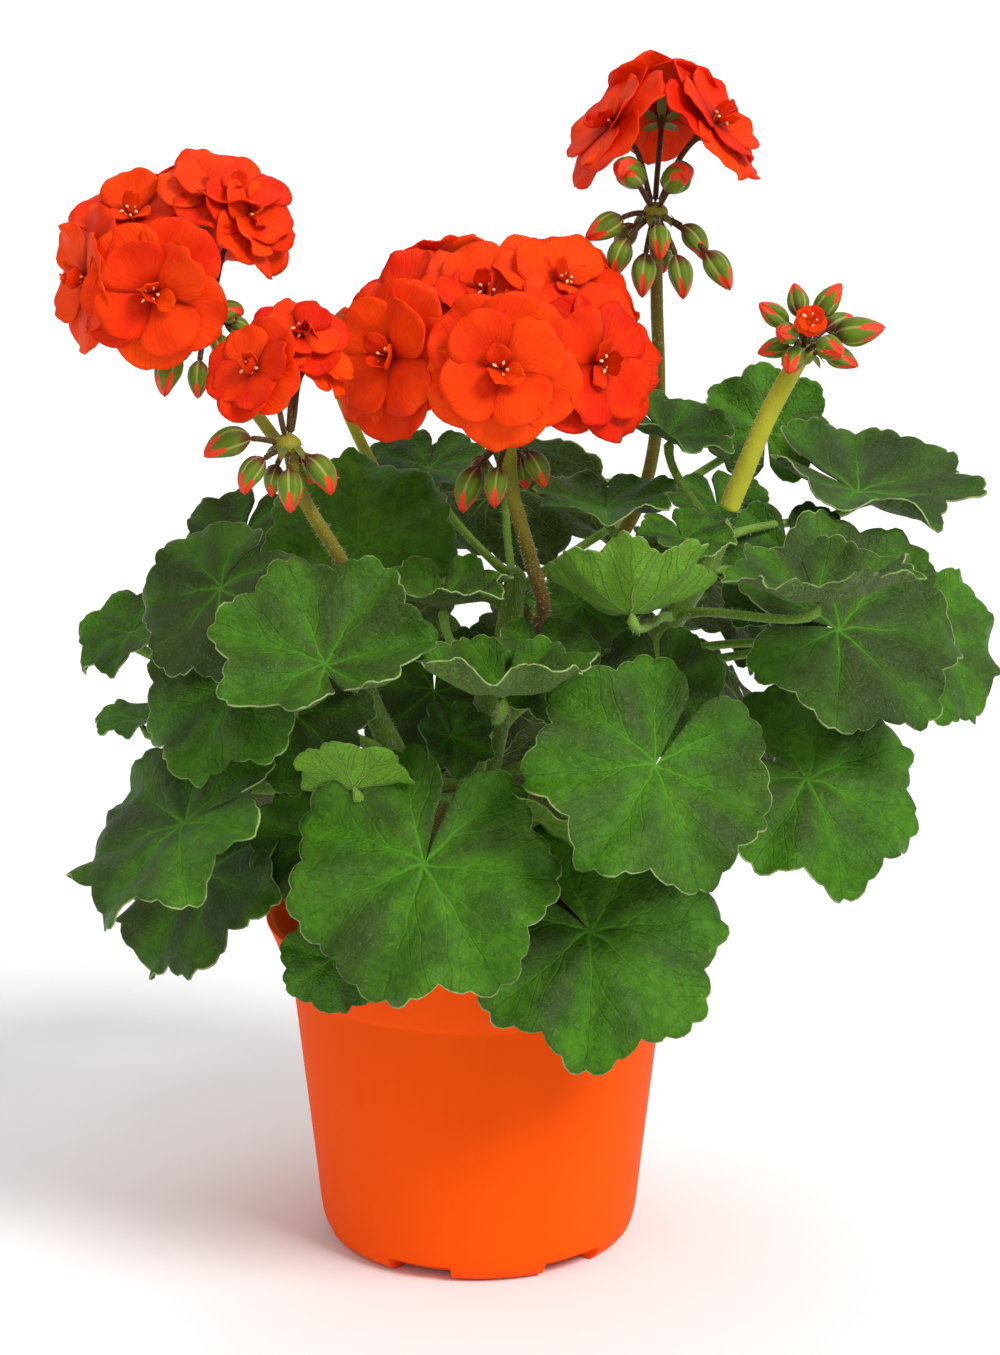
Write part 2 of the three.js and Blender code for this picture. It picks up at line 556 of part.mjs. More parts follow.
// A closed bud at the end of its curved pedicel.
function budSolid({ at, size, aim = [0, 0, -1] }, knob) {
  const direction = vector(aim).normalize();
  const length = size * BUD_SLENDERNESS;
  const curve = pedicel(knob, vector(at).addScaledVector(direction, length / 2), direction);
  const start = Math.max(0.1, 1 - length / curve.getLength());
  const share = (part) => start + part * (1 - start);
  const radius = size / 2;
  return slender(curve, [
    [0, PEDICEL_RADIUS],
    [0.85 * start, PEDICEL_RADIUS],
    [share(0.35), radius],
    [1, 0.2 * radius],
  ]);
}

function stalkBar({ stalk, radius }, gap) {
  return bar(new THREE.CatmullRomCurve3(stalk.map(vector)), radius + gap, STALK_SIDES, stalk.length + 2);
}

function stalkSolids(umbel) {
  const knob = vector(umbel.stalk.at(-1));
  const solids = [stalkBar(umbel, 0), turned(KNOB_PROFILE, 6, knob)];
  for (const floret of umbel.florets) solids.push(calyxSolid(floret, knob));
  for (const bud of umbel.buds) solids.push(budSolid(bud, knob));
  return solids;
}

// The pot: a turned wall with a flared collar, and six low hoods over the notches cut in its foot.
const INNER_BODY_FOOT = [BODY_FOOT[0] - WALL, FLOOR + 6];
const INNER_FLOOR_RADIUS = FOOT_RADIUS - 1;

function notchBlock(angle, innerRadius, outerRadius, halfWidth, bottom, height) {
  const section = new THREE.Shape();
  const inner = halfWidth * DEGREE * (DRAIN_CIRCLE / innerRadius);
  const outer = halfWidth * DEGREE;
  section.moveTo(innerRadius * Math.cos(inner), -innerRadius * Math.sin(inner));
  section.lineTo(outerRadius * Math.cos(outer), -outerRadius * Math.sin(outer));
  section.lineTo(outerRadius * Math.cos(outer), outerRadius * Math.sin(outer));
  section.lineTo(innerRadius * Math.cos(inner), innerRadius * Math.sin(inner));
  section.closePath();
  const geometry = new THREE.ExtrudeGeometry(section, { depth: height, bevelEnabled: false });
  geometry.translate(0, 0, bottom);
  geometry.rotateZ(angle * DEGREE);
  return solidOf(geometry);
}

const notchAngles = Array.from({ length: NOTCHES }, (_, i) => NOTCH_TURN - 90 + (i * 360) / NOTCHES);

function hoods(extra) {
  const inner = NOTCH_INNER_RADIUS - WALL - extra;
  const halfWidth = NOTCH_ANGLE / 2 + 2.6 + extra;
  const height = NOTCH_HEIGHT + WALL + extra - 1;
  return notchAngles.map((angle) => notchBlock(angle, inner, BODY_FOOT[0] - 1, halfWidth, 1, height));
}

function potSolid() {
  const lip = WALL + 0.4;
  const profile = [
    [0, 0],
    [FOOT_RADIUS, 0],
    [FOOT_RADIUS + 3.6, 3],
    BODY_FOOT,
    BODY_TOP,
    COLLAR_FOOT,
    [RIM_RADIUS, POT_HEIGHT - 1],
    [RIM_RADIUS - 0.6, POT_HEIGHT],
    [RIM_RADIUS - lip, POT_HEIGHT],
    [COLLAR_FOOT[0] - WALL, COLLAR_FOOT[1] + 0.5],
    [BODY_TOP[0] - WALL, BODY_TOP[1]],
    INNER_BODY_FOOT,
    [INNER_FLOOR_RADIUS, FLOOR],
    [0, FLOOR],
  ];
  const notches = notchAngles.map((angle) =>
    notchBlock(angle, NOTCH_INNER_RADIUS, RIM_RADIUS, NOTCH_ANGLE / 2, -1, NOTCH_HEIGHT + 1));
  const drains = notchAngles.map((angle) => {
    const middle = new THREE.Vector3(DRAIN_CIRCLE, 0, 0).applyAxisAngle(UP, angle * DEGREE);
    return turned([[0, 0], [DRAIN_RADIUS, 0], [DRAIN_RADIUS, 10], [0, 10]], 5, middle);
  });
  const foot = turned([
    [0, 0.5],
    [FOOT_RADIUS - 0.3, 0.5],
    [FOOT_RADIUS + 3.2, 3],
    [BODY_FOOT[0] - 0.4, BODY_FOOT[1]],
    [0, BODY_FOOT[1]],
  ], POT_SIDES);
  const footHoods = hoods(0).map((hood) => hood.intersect(foot));
  return join([turned(profile, POT_SIDES), ...footHoods]).subtract(join([...notches, ...drains]));
}

// The soil fills the pot up to below the rim. The stems stand in plain holes in it.
function soilSolid(stemCurves) {
  const inner = (outer, height) => [outer - WALL - 0.5, height];
  const slope = (RIM_RADIUS - COLLAR_FOOT[0]) / (POT_HEIGHT - COLLAR_FOOT[1]);
  const profile = [
    [0, FLOOR + GAP],
    [INNER_FLOOR_RADIUS - 0.5, FLOOR + GAP],
    [INNER_BODY_FOOT[0] - 0.6, INNER_BODY_FOOT[1]],
    inner(BODY_TOP[0], BODY_TOP[1]),
    inner(COLLAR_FOOT[0], COLLAR_FOOT[1] + 1),
    inner(COLLAR_FOOT[0] + slope * (SOIL_TOP - COLLAR_FOOT[1]), SOIL_TOP),
    [30, SOIL_TOP + SOIL_CROWN],
    [0, SOIL_TOP + SOIL_CROWN],
  ];
  const holes = stemCurves.map(({ curve, radius, steps }) => bar(curve, radius + GAP, STEM_SIDES, steps));
  return turned(profile, POT_SIDES).subtract(join([...hoods(GAP), ...holes]));
}

// The plant
const geranium = new THREE.Group();

function place(name, solid, material) {
  const { vertProperties, triVerts } = solid.getMesh();
  const geometry = new THREE.BufferGeometry();
  geometry.setAttribute('position', new THREE.BufferAttribute(vertProperties, 3));
  geometry.setIndex(new THREE.BufferAttribute(triVerts, 1));
  const mesh = new THREE.Mesh(geometry.toNonIndexed(), material);
  mesh.geometry.computeVertexNormals();
  mesh.name = name;
  geranium.add(mesh);
}

place('pot', potSolid(), potPlastic);

const stemCurves = Object.values(STEMS).map(({ path, radius }) => {
  const points = path.map(vector);
  points[0].z -= 2 * GAP;
  return { curve: new THREE.CatmullRomCurve3(points), radius, steps: stemSteps(path) };
});
place('soil', soilSolid(stemCurves), pottingSoil);

const sockets = Object.values(UMBELS).map((umbel) => ({
  stem: umbel.stem,
  solid: stalkBar(umbel, GAP),
}));

for (const [name, stem] of Object.entries(STEMS)) {
  const solids = stemSolids(stem);
  const cuts = sockets.filter((socket) => socket.stem === name).map((socket) => socket.solid);
  const leafy = join(solids);
  place(`leafy_stem_${name}`, cuts.length ? leafy.subtract(join(cuts)) : leafy, leafGreen);
}

for (const [name, umbel] of Object.entries(UMBELS)) {
  const green = stalkSolids(umbel);
  const red = umbel.florets.map(floretSolid);
  place(`flower_stalk_${name}`, join(green), stalkGreen);
  if (red.length > 0) place(`petals_${name}`, join(red), petalRed);
}

export default geranium;
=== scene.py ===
# A zonal geranium in full bloom, in a plain flared orange nursery pot.
import random
from math import cos, exp, pi, radians, sin, sqrt

import bmesh
import bpy
from mathutils import Matrix, Quaternion, Vector, geometry, noise


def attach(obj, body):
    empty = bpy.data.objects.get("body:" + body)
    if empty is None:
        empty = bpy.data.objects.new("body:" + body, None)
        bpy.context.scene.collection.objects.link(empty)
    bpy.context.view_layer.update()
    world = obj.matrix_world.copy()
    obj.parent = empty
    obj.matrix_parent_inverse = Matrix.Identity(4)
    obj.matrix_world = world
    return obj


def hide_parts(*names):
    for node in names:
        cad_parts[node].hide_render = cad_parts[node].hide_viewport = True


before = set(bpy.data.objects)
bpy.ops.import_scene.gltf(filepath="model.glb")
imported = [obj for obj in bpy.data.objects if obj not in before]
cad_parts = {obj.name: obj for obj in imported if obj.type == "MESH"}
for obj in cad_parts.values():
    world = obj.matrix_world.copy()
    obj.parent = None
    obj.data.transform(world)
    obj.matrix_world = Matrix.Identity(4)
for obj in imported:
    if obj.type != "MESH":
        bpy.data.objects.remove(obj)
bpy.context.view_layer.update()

# The studio: a pale floor that runs out of sight behind the plant, a wide window light, two soft
# lamps and an even sky. The camera stands a good metre in front and looks down a little.
PLANT_MIDDLE = Vector((0, 0, 0.2))
SOFTBOX_WIDTH = 1.2
WINDOW_DIRECTION = Vector((-0.62, 0.58, -0.8))
CAMERA_DIP = 15.5
FLOOR_HALF_WIDTH = 9
FLOOR_DROP = 0.0003

scene = bpy.context.scene
camera = bpy.data.objects.new("camera", bpy.data.cameras.new("camera"))
camera.data.sensor_width = 36
camera.data.lens = 114.4
camera.data.clip_end = 60
camera.location = (0.0066, -1.2527, 0.5244)
camera.rotation_euler = (radians(90 - CAMERA_DIP), 0, 0)
scene.collection.objects.link(camera)
scene.camera = camera
scene.view_settings.view_transform = "Standard"


def hang_light(light, direction):
    """Hangs a lamp that shines in a direction."""
    light_object = bpy.data.objects.new(light.name, light)
    light_object.rotation_euler = direction.to_track_quat("-Z", "Y").to_euler()
    scene.collection.objects.link(light_object)
    return light_object


def softbox(name, place, power):
    """A round soft lamp that points at the plant."""
    lamp = bpy.data.lights.new(name, "AREA")
    lamp.shape = "DISK"
    lamp.size = SOFTBOX_WIDTH
    lamp.energy = power
    hang_light(lamp, PLANT_MIDDLE - Vector(place)).location = place


softbox("fill_light", (-1.3, -1.1, 0.7), 1)
softbox("top_light", (-0.2, 0.5, 1.6), 5)
window = bpy.data.lights.new("window_light", "SUN")
window.energy = 2.45
window.angle = radians(22)
hang_light(window, WINDOW_DIRECTION)
world = bpy.data.worlds.new("studio")
world.use_nodes = True
world.node_tree.nodes["Background"].inputs["Color"].default_value = (1, 1, 1, 1)
world.node_tree.nodes["Background"].inputs["Strength"].default_value = 0.6
scene.world = world


class Signal:
    """A number or colour that varies over a surface. Arithmetic on a number adds its Math nodes."""

    def __init__(self, finish, socket):
        self.finish = finish
        self.socket = socket

    def math(self, operation, *others):
        values = dict(enumerate((self, *others)))
        return self.finish.node("ShaderNodeMath", {"operation": operation}, values)

    def __add__(self, other):
        return self.math("ADD", other)

    def __sub__(self, other):
        return self.math("SUBTRACT", other)

    def __rsub__(self, other):
        return self.finish.node("ShaderNodeMath", {"operation": "SUBTRACT"}, {0: other, 1: self})

    def __mul__(self, other):
        return self.math("MULTIPLY", other)

    def __truediv__(self, other):
        return self.math("DIVIDE", other)

    __radd__ = __add__
    __rmul__ = __mul__

    def rise(self, low, high):
        """Goes smoothly from 0 to 1 while the signal goes from low to high."""
        settings = {"interpolation_type": "SMOOTHSTEP"}
        values = {"Value": self, "From Min": low, "From Max": high}
        return self.finish.node("ShaderNodeMapRange", settings, values)

    def parts(self):
        """The first two coordinates of a place, such as those of a flat map."""
        split = self.finish.node("ShaderNodeSeparateXYZ", {}, {0: self})
        return split, Signal(self.finish, split.socket.node.outputs[1])


class Finish:
    """A material in the making: its shader's fixed values, then signals for what varies."""

    def __init__(self, name, fixed):
        self.material = bpy.data.materials.new(name)
        self.material.use_nodes = True
        self.tree = self.material.node_tree
        self.shader = self.tree.nodes["Principled BSDF"]
        for socket, value in fixed.items():
            self.give(socket, value)

    def feed(self, socket, value):
        if isinstance(value, Signal):
            self.tree.links.new(value.socket, socket)
        elif socket.type == "RGBA":
            socket.default_value = (*value, 1)
        else:
            socket.default_value = value

    def give(self, socket, value):
        self.feed(self.shader.inputs[socket], value)

    def node(self, kind, settings, values, output=0):
        made = self.tree.nodes.new(kind)
        for name, value in settings.items():
            setattr(made, name, value)
        for name, value in values.items():
            self.feed(made.inputs[name], value)
        return Signal(self, made.outputs[output])

    def place(self):
        return self.node("ShaderNodeTexCoord", {}, {}, "Object")

    def flat(self):
        return self.node("ShaderNodeUVMap", {"uv_map": "map"}, {})

    def squeezed(self, place, scale):
        return self.node("ShaderNodeMapping", {}, {"Vector": place, "Scale": scale})

    def grain(self, place, scale, detail=2, rough=0.5):
        values = {"Vector": place, "Scale": scale, "Detail": detail, "Roughness": rough}
        return self.node("ShaderNodeTexNoise", {}, values)

    def mark(self, name):
        return self.node("ShaderNodeAttribute", {"attribute_name": name}, {}, "Fac")

    def blend(self, share, low, high, mode="MIX"):
        settings = {"data_type": "RGBA", "blend_type": mode}
        return self.node("ShaderNodeMix", settings, {0: share, 6: low, 7: high}, 2)

    def relief(self, height, depth, strength=1.0):
        values = {"Height": height, "Distance": depth, "Strength": strength}
        self.give("Normal", self.node("ShaderNodeBump", {}, values))


floor_mesh = bmesh.new()
bmesh.ops.create_grid(floor_mesh, x_segments=1, y_segments=1, size=FLOOR_HALF_WIDTH)
bmesh.ops.translate(floor_mesh, verts=floor_mesh.verts, vec=(0, 0, -FLOOR_DROP))
floor = bpy.data.objects.new("floor", bpy.data.meshes.new("floor"))
floor_mesh.to_mesh(floor.data)
floor_paint = Finish("floor_paint", {"Roughness": 0.9, "Specular IOR Level": 0.1})
floor_cloud = floor_paint.grain(floor_paint.place(), 3)
floor_colour = floor_paint.blend(floor_cloud, (0.93, 0.93, 0.93), (0.96, 0.96, 0.96))
floor_paint.give("Base Color", floor_colour)
floor.data.materials.append(floor_paint.material)
scene.collection.objects.link(floor)

# The pot: one thin injection-moulded piece of orange polypropylene with a flared collar. Its wall's
# profile runs from the middle of the foot over the rim to the middle of the floor, and the foot is
# lifted at six notches, which let water out.
POT_PROFILE = [
    (0, 0), (14, 0), (27.8, 0), (28.2, 0), (36, 0), (43.4, 0), (44.6, 0.3), (46, 1.2), (47.2, 2.6),
    (48, 4.6), (48.7, 7.4), (49.2, 11), (50.9, 27), (52.7, 43), (54.5, 59), (56.3, 75), (57.15, 83),
    (57.3, 83.7), (57.8, 84.3), (58.3, 85.2), (60.5, 91), (62.7, 97), (64.6, 101.4), (65, 102.2),
    (64.9, 102.8), (64.3, 103), (63.2, 103), (62.7, 102.7), (62.3, 101.9), (58.6, 91), (56.5, 85.6),
    (55.6, 83.5), (51.1, 43), (47.6, 8), (42.8, 2), (20, 2), (0, 2),
]
FOOT_SHARE = 0.3
FIRST_NOTCH = -112.5
NOTCHES = 6
NOTCH_STEPS = (-30, -26, -22, -18, -15, -12.5, -12, -9, -6, -3,
               0, 3, 6, 9, 12, 12.5, 15, 18, 22, 26)
POT_COLUMNS = NOTCHES * len(NOTCH_STEPS)
NOTCH_HALF = 12.2
NOTCH_TOP = 5
NOTCH_REACH = 28
SHARP = radians(38)
MILLIMETRE = 0.001


def new_mesh():
    """An empty mesh that can carry a surface's own map and two marks for its finish."""
    mesh = bmesh.new()
    mesh.loops.layers.uv.new("map")
    mesh.verts.layers.float.new("edge")
    mesh.verts.layers.float.new("tone")
    return mesh


def add_sheet(mesh, columns, rows, place, tone=0.0, marks=None, material=0):
    """A grid whose points go where place(u, v) says, with u and v from 0 to 1. marks(u, v) gives
    each point's two map coordinates and its edge mark. Without it they are u, v and v."""
    uv_map = mesh.loops.layers.uv["map"]
    edge = mesh.verts.layers.float["edge"]
    shade = mesh.verts.layers.float["tone"]
    points = bmesh.ops.create_grid(mesh, x_segments=columns, y_segments=rows, size=0.5)["verts"]
    spots = {point: (point.co.x + 0.5, point.co.y + 0.5) for point in points}
    printed = {point: marks(*spot) if marks else (*spot, spot[1]) for point, spot in spots.items()}
    for point, spot in spots.items():
        point.co = place(*spot)
        point[edge] = printed[point][2]
        point[shade] = tone
    for face in {face for point in points for face in point.link_faces}:
        face.smooth = True
        face.material_index = material
        for loop in face.loops:
            loop[uv_map].uv = printed[loop.vert][:2]


def finished_piece(name, mesh, finishes, sharp=None):
    """Closes a mesh's seams and poles, brings it from millimetres to metres, makes it an object."""
    bmesh.ops.remove_doubles(mesh, verts=mesh.verts, dist=0.002)
    bmesh.ops.dissolve_degenerate(mesh, dist=0.0005, edges=mesh.edges)
    bmesh.ops.scale(mesh, vec=(MILLIMETRE, MILLIMETRE, MILLIMETRE), verts=mesh.verts)
    for seam in mesh.edges:
        if sharp and len(seam.link_faces) == 2 and seam.calc_face_angle() > sharp:
            seam.smooth = False
    piece = bpy.data.objects.new(name, bpy.data.meshes.new(name))
    mesh.to_mesh(piece.data)
    mesh.free()
    for finish in finishes:
        piece.data.materials.append(finish.material)
    scene.collection.objects.link(piece)
    return piece


def pot_point(u, v):
    notch, step = divmod(round(u * POT_COLUMNS) % POT_COLUMNS, len(NOTCH_STEPS))
    from_notch = NOTCH_STEPS[step]
    angle = radians(FIRST_NOTCH + 360 / NOTCHES * notch + from_notch)
    radius, height = POT_PROFILE[round(v * (len(POT_PROFILE) - 1))]
    in_notch = abs(from_notch) < NOTCH_HALF and NOTCH_REACH < radius
    if in_notch and height < NOTCH_TOP and v < FOOT_SHARE:
        height = NOTCH_TOP
    return Vector((radius * cos(angle), radius * sin(angle), height))


pot_plastic = Finish("orange_polypropylene", {"Specular IOR Level": 0.06})
pot_place = pot_plastic.place()
pot_cloud = pot_plastic.grain(pot_place, 14, 3)
pot_fine = pot_plastic.grain(pot_place, 900, 2)
pot_streak = pot_plastic.grain(pot_plastic.squeezed(pot_place, (60, 60, 4)), 1, 3)
pot_colour = pot_plastic.blend(pot_cloud, (0.9, 0.08, 0.0005), (1.0, 0.1, 0.0006))
pot_colour = pot_plastic.blend(pot_streak * 0.25, pot_colour, (0.75, 0.06, 0.0005))
pot_plastic.give("Base Color", pot_colour)
pot_plastic.give("Roughness", pot_fine * 0.12 + pot_cloud * 0.1 + 0.48)
pot_plastic.relief(pot_fine * 0.6 + pot_streak * 0.4, 0.00003)

pot_mesh = new_mesh()
add_sheet(pot_mesh, POT_COLUMNS, len(POT_PROFILE) - 1, pot_point)
pot = finished_piece("pot_wall", pot_mesh, [pot_plastic], SHARP)
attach(pot, "root")
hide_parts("pot")

# The soil: moist dark peat with pale fibres, which fills the pot to below its rim. Its side and
# bottom follow the pot's wall, its top is a low uneven dome, and loose crumbs lie on it.
SOIL_RADIUS = 58.3
SOIL_TOP = 91.5
SOIL_PROFILE = [(0, 2.4), (42, 2.4), (47, 8), (55, 83.4), (56.1, 85.8), (SOIL_RADIUS, SOIL_TOP)]
SOIL_RINGS = 34
SOIL_ROWS = len(SOIL_PROFILE) - 1 + SOIL_RINGS
SOIL_DOME = 1.2
CRUMBS = 260


def dome_height(radius):
    return SOIL_TOP + SOIL_DOME * (1 - (radius / SOIL_RADIUS) ** 2)


def soil_point(u, v):
    turn = 2 * pi * u
    row = round(v * SOIL_ROWS)
    if row < len(SOIL_PROFILE):
        radius, height = SOIL_PROFILE[row]
    else:
        radius = SOIL_RADIUS * (1 - (row - len(SOIL_PROFILE) + 1) / SOIL_RINGS)
        spot = Vector((radius * cos(turn), -radius * sin(turn), 0))
        bumps = noise.noise(spot * 0.35) * 1.2 + noise.noise(spot * 0.11) * 1.6
        height = dome_height(radius) + bumps * min(1, (SOIL_RADIUS - radius) / 3)
    return Vector((radius * cos(turn), radius * sin(turn), height))


peat = Finish("moist_peat", {"Roughness": 0.95, "Specular IOR Level": 0.15})
peat_place = peat.place()
peat_lumps = peat.grain(peat_place, 260, 6, 0.7)
peat_fibres = peat.grain(peat.squeezed(peat_place, (200, 900, 500)), 1, 3)
peat_colour = peat.blend(peat_lumps.rise(0.35, 0.65), (0.012, 0.007, 0.004), (0.055, 0.032, 0.017))
peat_colour = peat.blend(peat_fibres.rise(0.66, 0.74) * 0.6, peat_colour, (0.16, 0.1, 0.05))
peat.give("Base Color", peat_colour)
peat.relief(peat_lumps, 0.0012)

soil_mesh = new_mesh()
add_sheet(soil_mesh, 90, SOIL_ROWS, soil_point)
soil_luck = random.Random(4)
for crumb in range(CRUMBS):
    angle = soil_luck.uniform(0, 2 * pi)
    radius = 58 * soil_luck.random() ** 0.5
    crumb_size = soil_luck.uniform(0.5, 1.7)
    points = bmesh.ops.create_icosphere(soil_mesh, subdivisions=1, radius=crumb_size)["verts"]
    for point in points:
        point.co *= 1 + 0.35 * noise.noise(point.co * 1.3 + Vector((crumb, 0, 0)))
    bmesh.ops.scale(soil_mesh, vec=(1, soil_luck.uniform(0.5, 1), 0.7), verts=points)
    crumb_place = (radius * cos(angle), radius * sin(angle), dome_height(radius) + 0.3)
    bmesh.ops.translate(soil_mesh, vec=crumb_place, verts=points)
soil = finished_piece("peat_filling", soil_mesh, [peat])
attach(soil, "root")
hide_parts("soil")

# The four leafy stems: downy, with long-stalked round leaves of seven scalloped lobes, all one
# growth with each stem. A leaf is (place on its stem, hub, facing, tilt, spin, size, bends at its
# tip, right, back and left, freshness), and facing 0 is the front.
STEMS = {
    "centre": {
        "path": [[0, -4, 60], [0, -5, 110], [-2, -10, 150], [6, -22, 188]],
        "radius": 4.2,
        "leaves": [
            (0.52, (-15, -86, 146), -8, 58, -14, 38.5, (-12, -8, 5, -5), 0.62),
            (0.44, (33, -74, 122), 10, 54, 44, 38, (-15, -15, 0, -10), 0.6),
            (0.8, (8, -80, 196), -5, 5, 0, 27, (65, 40, 55, 50), 0.5),
            (0.9, (-10, -44, 213), 0, 8, 0, 20, (55, 40, 65, 35), 0.5),
            (0.6, (-35, -73, 166), 172, 50, 168, 16.5, (20, 20, 0, 20), 0.9),
            (0.62, (-7, -58, 176), 20, 60, 0, 12, (10, 55, 0, 55), 0.35),
            (0.4, (-42, -71, 112), -12, 74, 0, 16, (-20, 0, 0, 0), 0.4),
            (0.93, (19, -58, 198), 15, 52, 0, 17, (-10, 10, 0, 10), 0.4),
            (0.85, (31, -16, 204), 10, 72, 0, 16, (-10, 10, 0, 10), 0.4),
            (0.5, (16, -66, 155), 129, 40, 0, 18, (0, 10, 0, 10), 0.85),
        ],
    },
    "left": {
        "path": [[-12, 2, 60], [-14, 2, 110], [-24, -4, 150], [-38, -18, 186]],
        "radius": 3.8,
        "leaves": [
            (0.86, (-43, -81, 204), 0, 50, -160, 31, (10, 30, 110, 15), 0.45),
            (0.92, (-75, -46, 217), -40, 54, -20, 27, (-10, 0, -45, 0), 0.12),
            (0.72, (-69, -52, 191), -30, 42, -55, 31, (-15, 0, 10, 0), 0.75),
            (0.55, (-86, -62, 151), -56, 32, -45, 35, (-15, -5, 10, 20), 0.4),
            (0.45, (-81, -40, 129), -52, 46, -12, 33, (-20, 0, 0, 0), 0.3),
            (0.7, (-106, 8, 190), -45, 30, -25, 17, (-20, 15, 0, 20), 0.5),
            (0.62, (-104, 22, 159), -60, 3, 0, 14, (-15, 10, 0, 10), 0.4),
            (0.8, (-71, -2, 222), -40, 45, 0, 19, (-10, 20, 10, 20), 0.45),
            (0.9, (-35, -22, 224), 0, 58, 180, 28.5, (-15, -10, 20, -10), 0.75),
            (0.62, (-54, -34, 176), -10, 52, 0, 23, (-10, 0, 0, 0), 0.1),
            (0.5, (-48, -54, 143), -15, 60, 0, 20, (-10, 0, 0, 0), 0.35),
        ],
    },
    "right": {
        "path": [[12, 2, 60], [16, 2, 110], [36, -8, 158], [56, -20, 198], [73, -29, 234]],
        "radius": 4.4,
        "leaves": [
            (0.5, (51, -84, 175), 14, 56, -38, 35.5, (15, -5, 5, 5), 0.42),
            (0.46, (97, -50, 161), 20, 47, 55, 34.5, (-15, -10, 0, 0), 0.55),
            (0.66, (106, -38, 203), 20, 48, 80, 35, (0, 15, 0, 10), 0.35),
            (0.8, (97, -70, 221), 10, 8, 10, 28, (65, 35, 40, 40), 0.42),
            (0.88, (93, -14, 217), 10, 50, 0, 24, (-10, -10, 0, -10), 0.3),
            (0.7, (138, 2, 190), 45, 55, 20, 27, (-20, 0, 0, 0), 0.7),
            (0.93, (115, 16, 232), 50, 17, 30, 34, (35, 25, 35, 30), 0.3),
            (0.56, (53, -50, 190), 10, 58, 0, 20, (-10, -10, 0, -10), 0.4),
            (0.97, (60, -38, 231), 30, 18, 0, 14, (10, 25, 10, 25), 0.4),
            (0.8, (44, -62, 215), 180, 30, 180, 26, (60, 60, 35, 60), 0.75),
            (0.84, (38, -10, 233), 0, 8, 0, 21, (25, 30, 25, 30), 0.3),
            (0.97, (56, -8, 254.5), 60, 24, 0, 19, (35, 40, 30, 40), 0.35),
            (0.9, (73, 20, 226), 20, 35, 0, 16, (0, 20, 0, 20), 0.35),
        ],
    },
    "back": {
        "path": [[0, 14, 60], [0, 16, 110], [6, 24, 160], [12, 28, 205]],
        "radius": 3.8,
        "leaves": [
            (0.93, (89, 52, 242), 0, 58, 180, 20, (10, 10, 0, 10), 0.35),
            (0.5, (-14, 36, 163), -5, 64, 0, 24, (-10, 0, 0, 0), 0.12),
            (0.96, (-15, 32, 236), -10, 20, 0, 18, (10, 20, 30, 20), 0.25),
            (0.9, (-52, 52, 214), -140, 42, 10, 34, (-20, -10, 0, -10), 0.4),
            (0.94, (8, 76, 220), 175, 45, -15, 36, (-20, -10, 0, -10), 0.4),
            (0.85, (74, 62, 192), 130, 50, 0, 32, (-20, -10, 0, -10), 0.4),
            (0.6, (-38, 76, 168), -155, 55, 20, 37, (-25, -10, 0, -10), 0.4),
            (0.62, (34, 84, 164), 160, 56, -10, 38, (-25, -10, 0, -10), 0.4),
            (0.54, (86, 36, 154), 110, 58, 10, 34, (-25, -10, 0, -10), 0.4),
            (0.5, (-76, 46, 132), -120, 60, 0, 35, (-25, -10, 0, -10), 0.4),
            (0.44, (2, 76, 124), 178, 64, 0, 35, (-20, -10, 0, -10), 0.4),
        ],
    },
}
STEM_POINTS = 61
PETIOLE_POINTS = 16
HAIR_RADIUS = 0.07
DOWN_ON_STEM = 1
LOBES = 7
LOBE_TURN = radians(50)
BIG_BLADE, TEETH, SMALL_BLADE_TEETH = 22, 4, 3
BLADE_THICKNESS = 0.0005
HUB_OFFSET = 0.1
WIDENING = 0.06
WAVES = 5
GOLDEN_ANGLE = radians(137.5)
# How deep a blade's forms are: those of its margin as shares of its reach, then those of its face
# as shares of its size, and the dimple at its hub in millimetres.
LOBE_CUT, TOOTH_CUT, MARGIN_WANDER, SLIT_CORNER = 0.13, 0.045, 0.035, 0.2
WAVE, PLEAT, RUFFLE, LUMP, FINE_LUMP, RIM_CURL = 0.05, 0.11, 0.032, 0.1, 0.03, 0.03
HUB_DIMPLE = 1.6


def facing(face, tilt, spin):
    """A blade's directions: out of its face, along its middle and to its side."""
    face, tilt, spin = radians(face), radians(tilt), radians(spin)
    east, north = sin(face), -cos(face)
    level, steep = cos(tilt), sin(tilt)
    out = Vector((steep * east, steep * north, level))
    down = Vector((level * east, level * north, -steep))
    along = down * cos(spin) + out.cross(down) * sin(spin)
    return out, along, out.cross(along)


def evenly(points, count):
    """Points spaced evenly along a line of many short steps."""
    reached = [0.0]
    for start, end in zip(points, points[1:]):
        reached.append(reached[-1] + (end - start).length)
    spaced, step = [], 0
    for number in range(count):
        target = reached[-1] * number / (count - 1)
        while step < len(points) - 2 and reached[step + 1] < target:
            step += 1
        share = (target - reached[step]) / max(reached[step + 1] - reached[step], 1e-6)
        spaced.append(points[step].lerp(points[step + 1], min(1, share)))
    return spaced


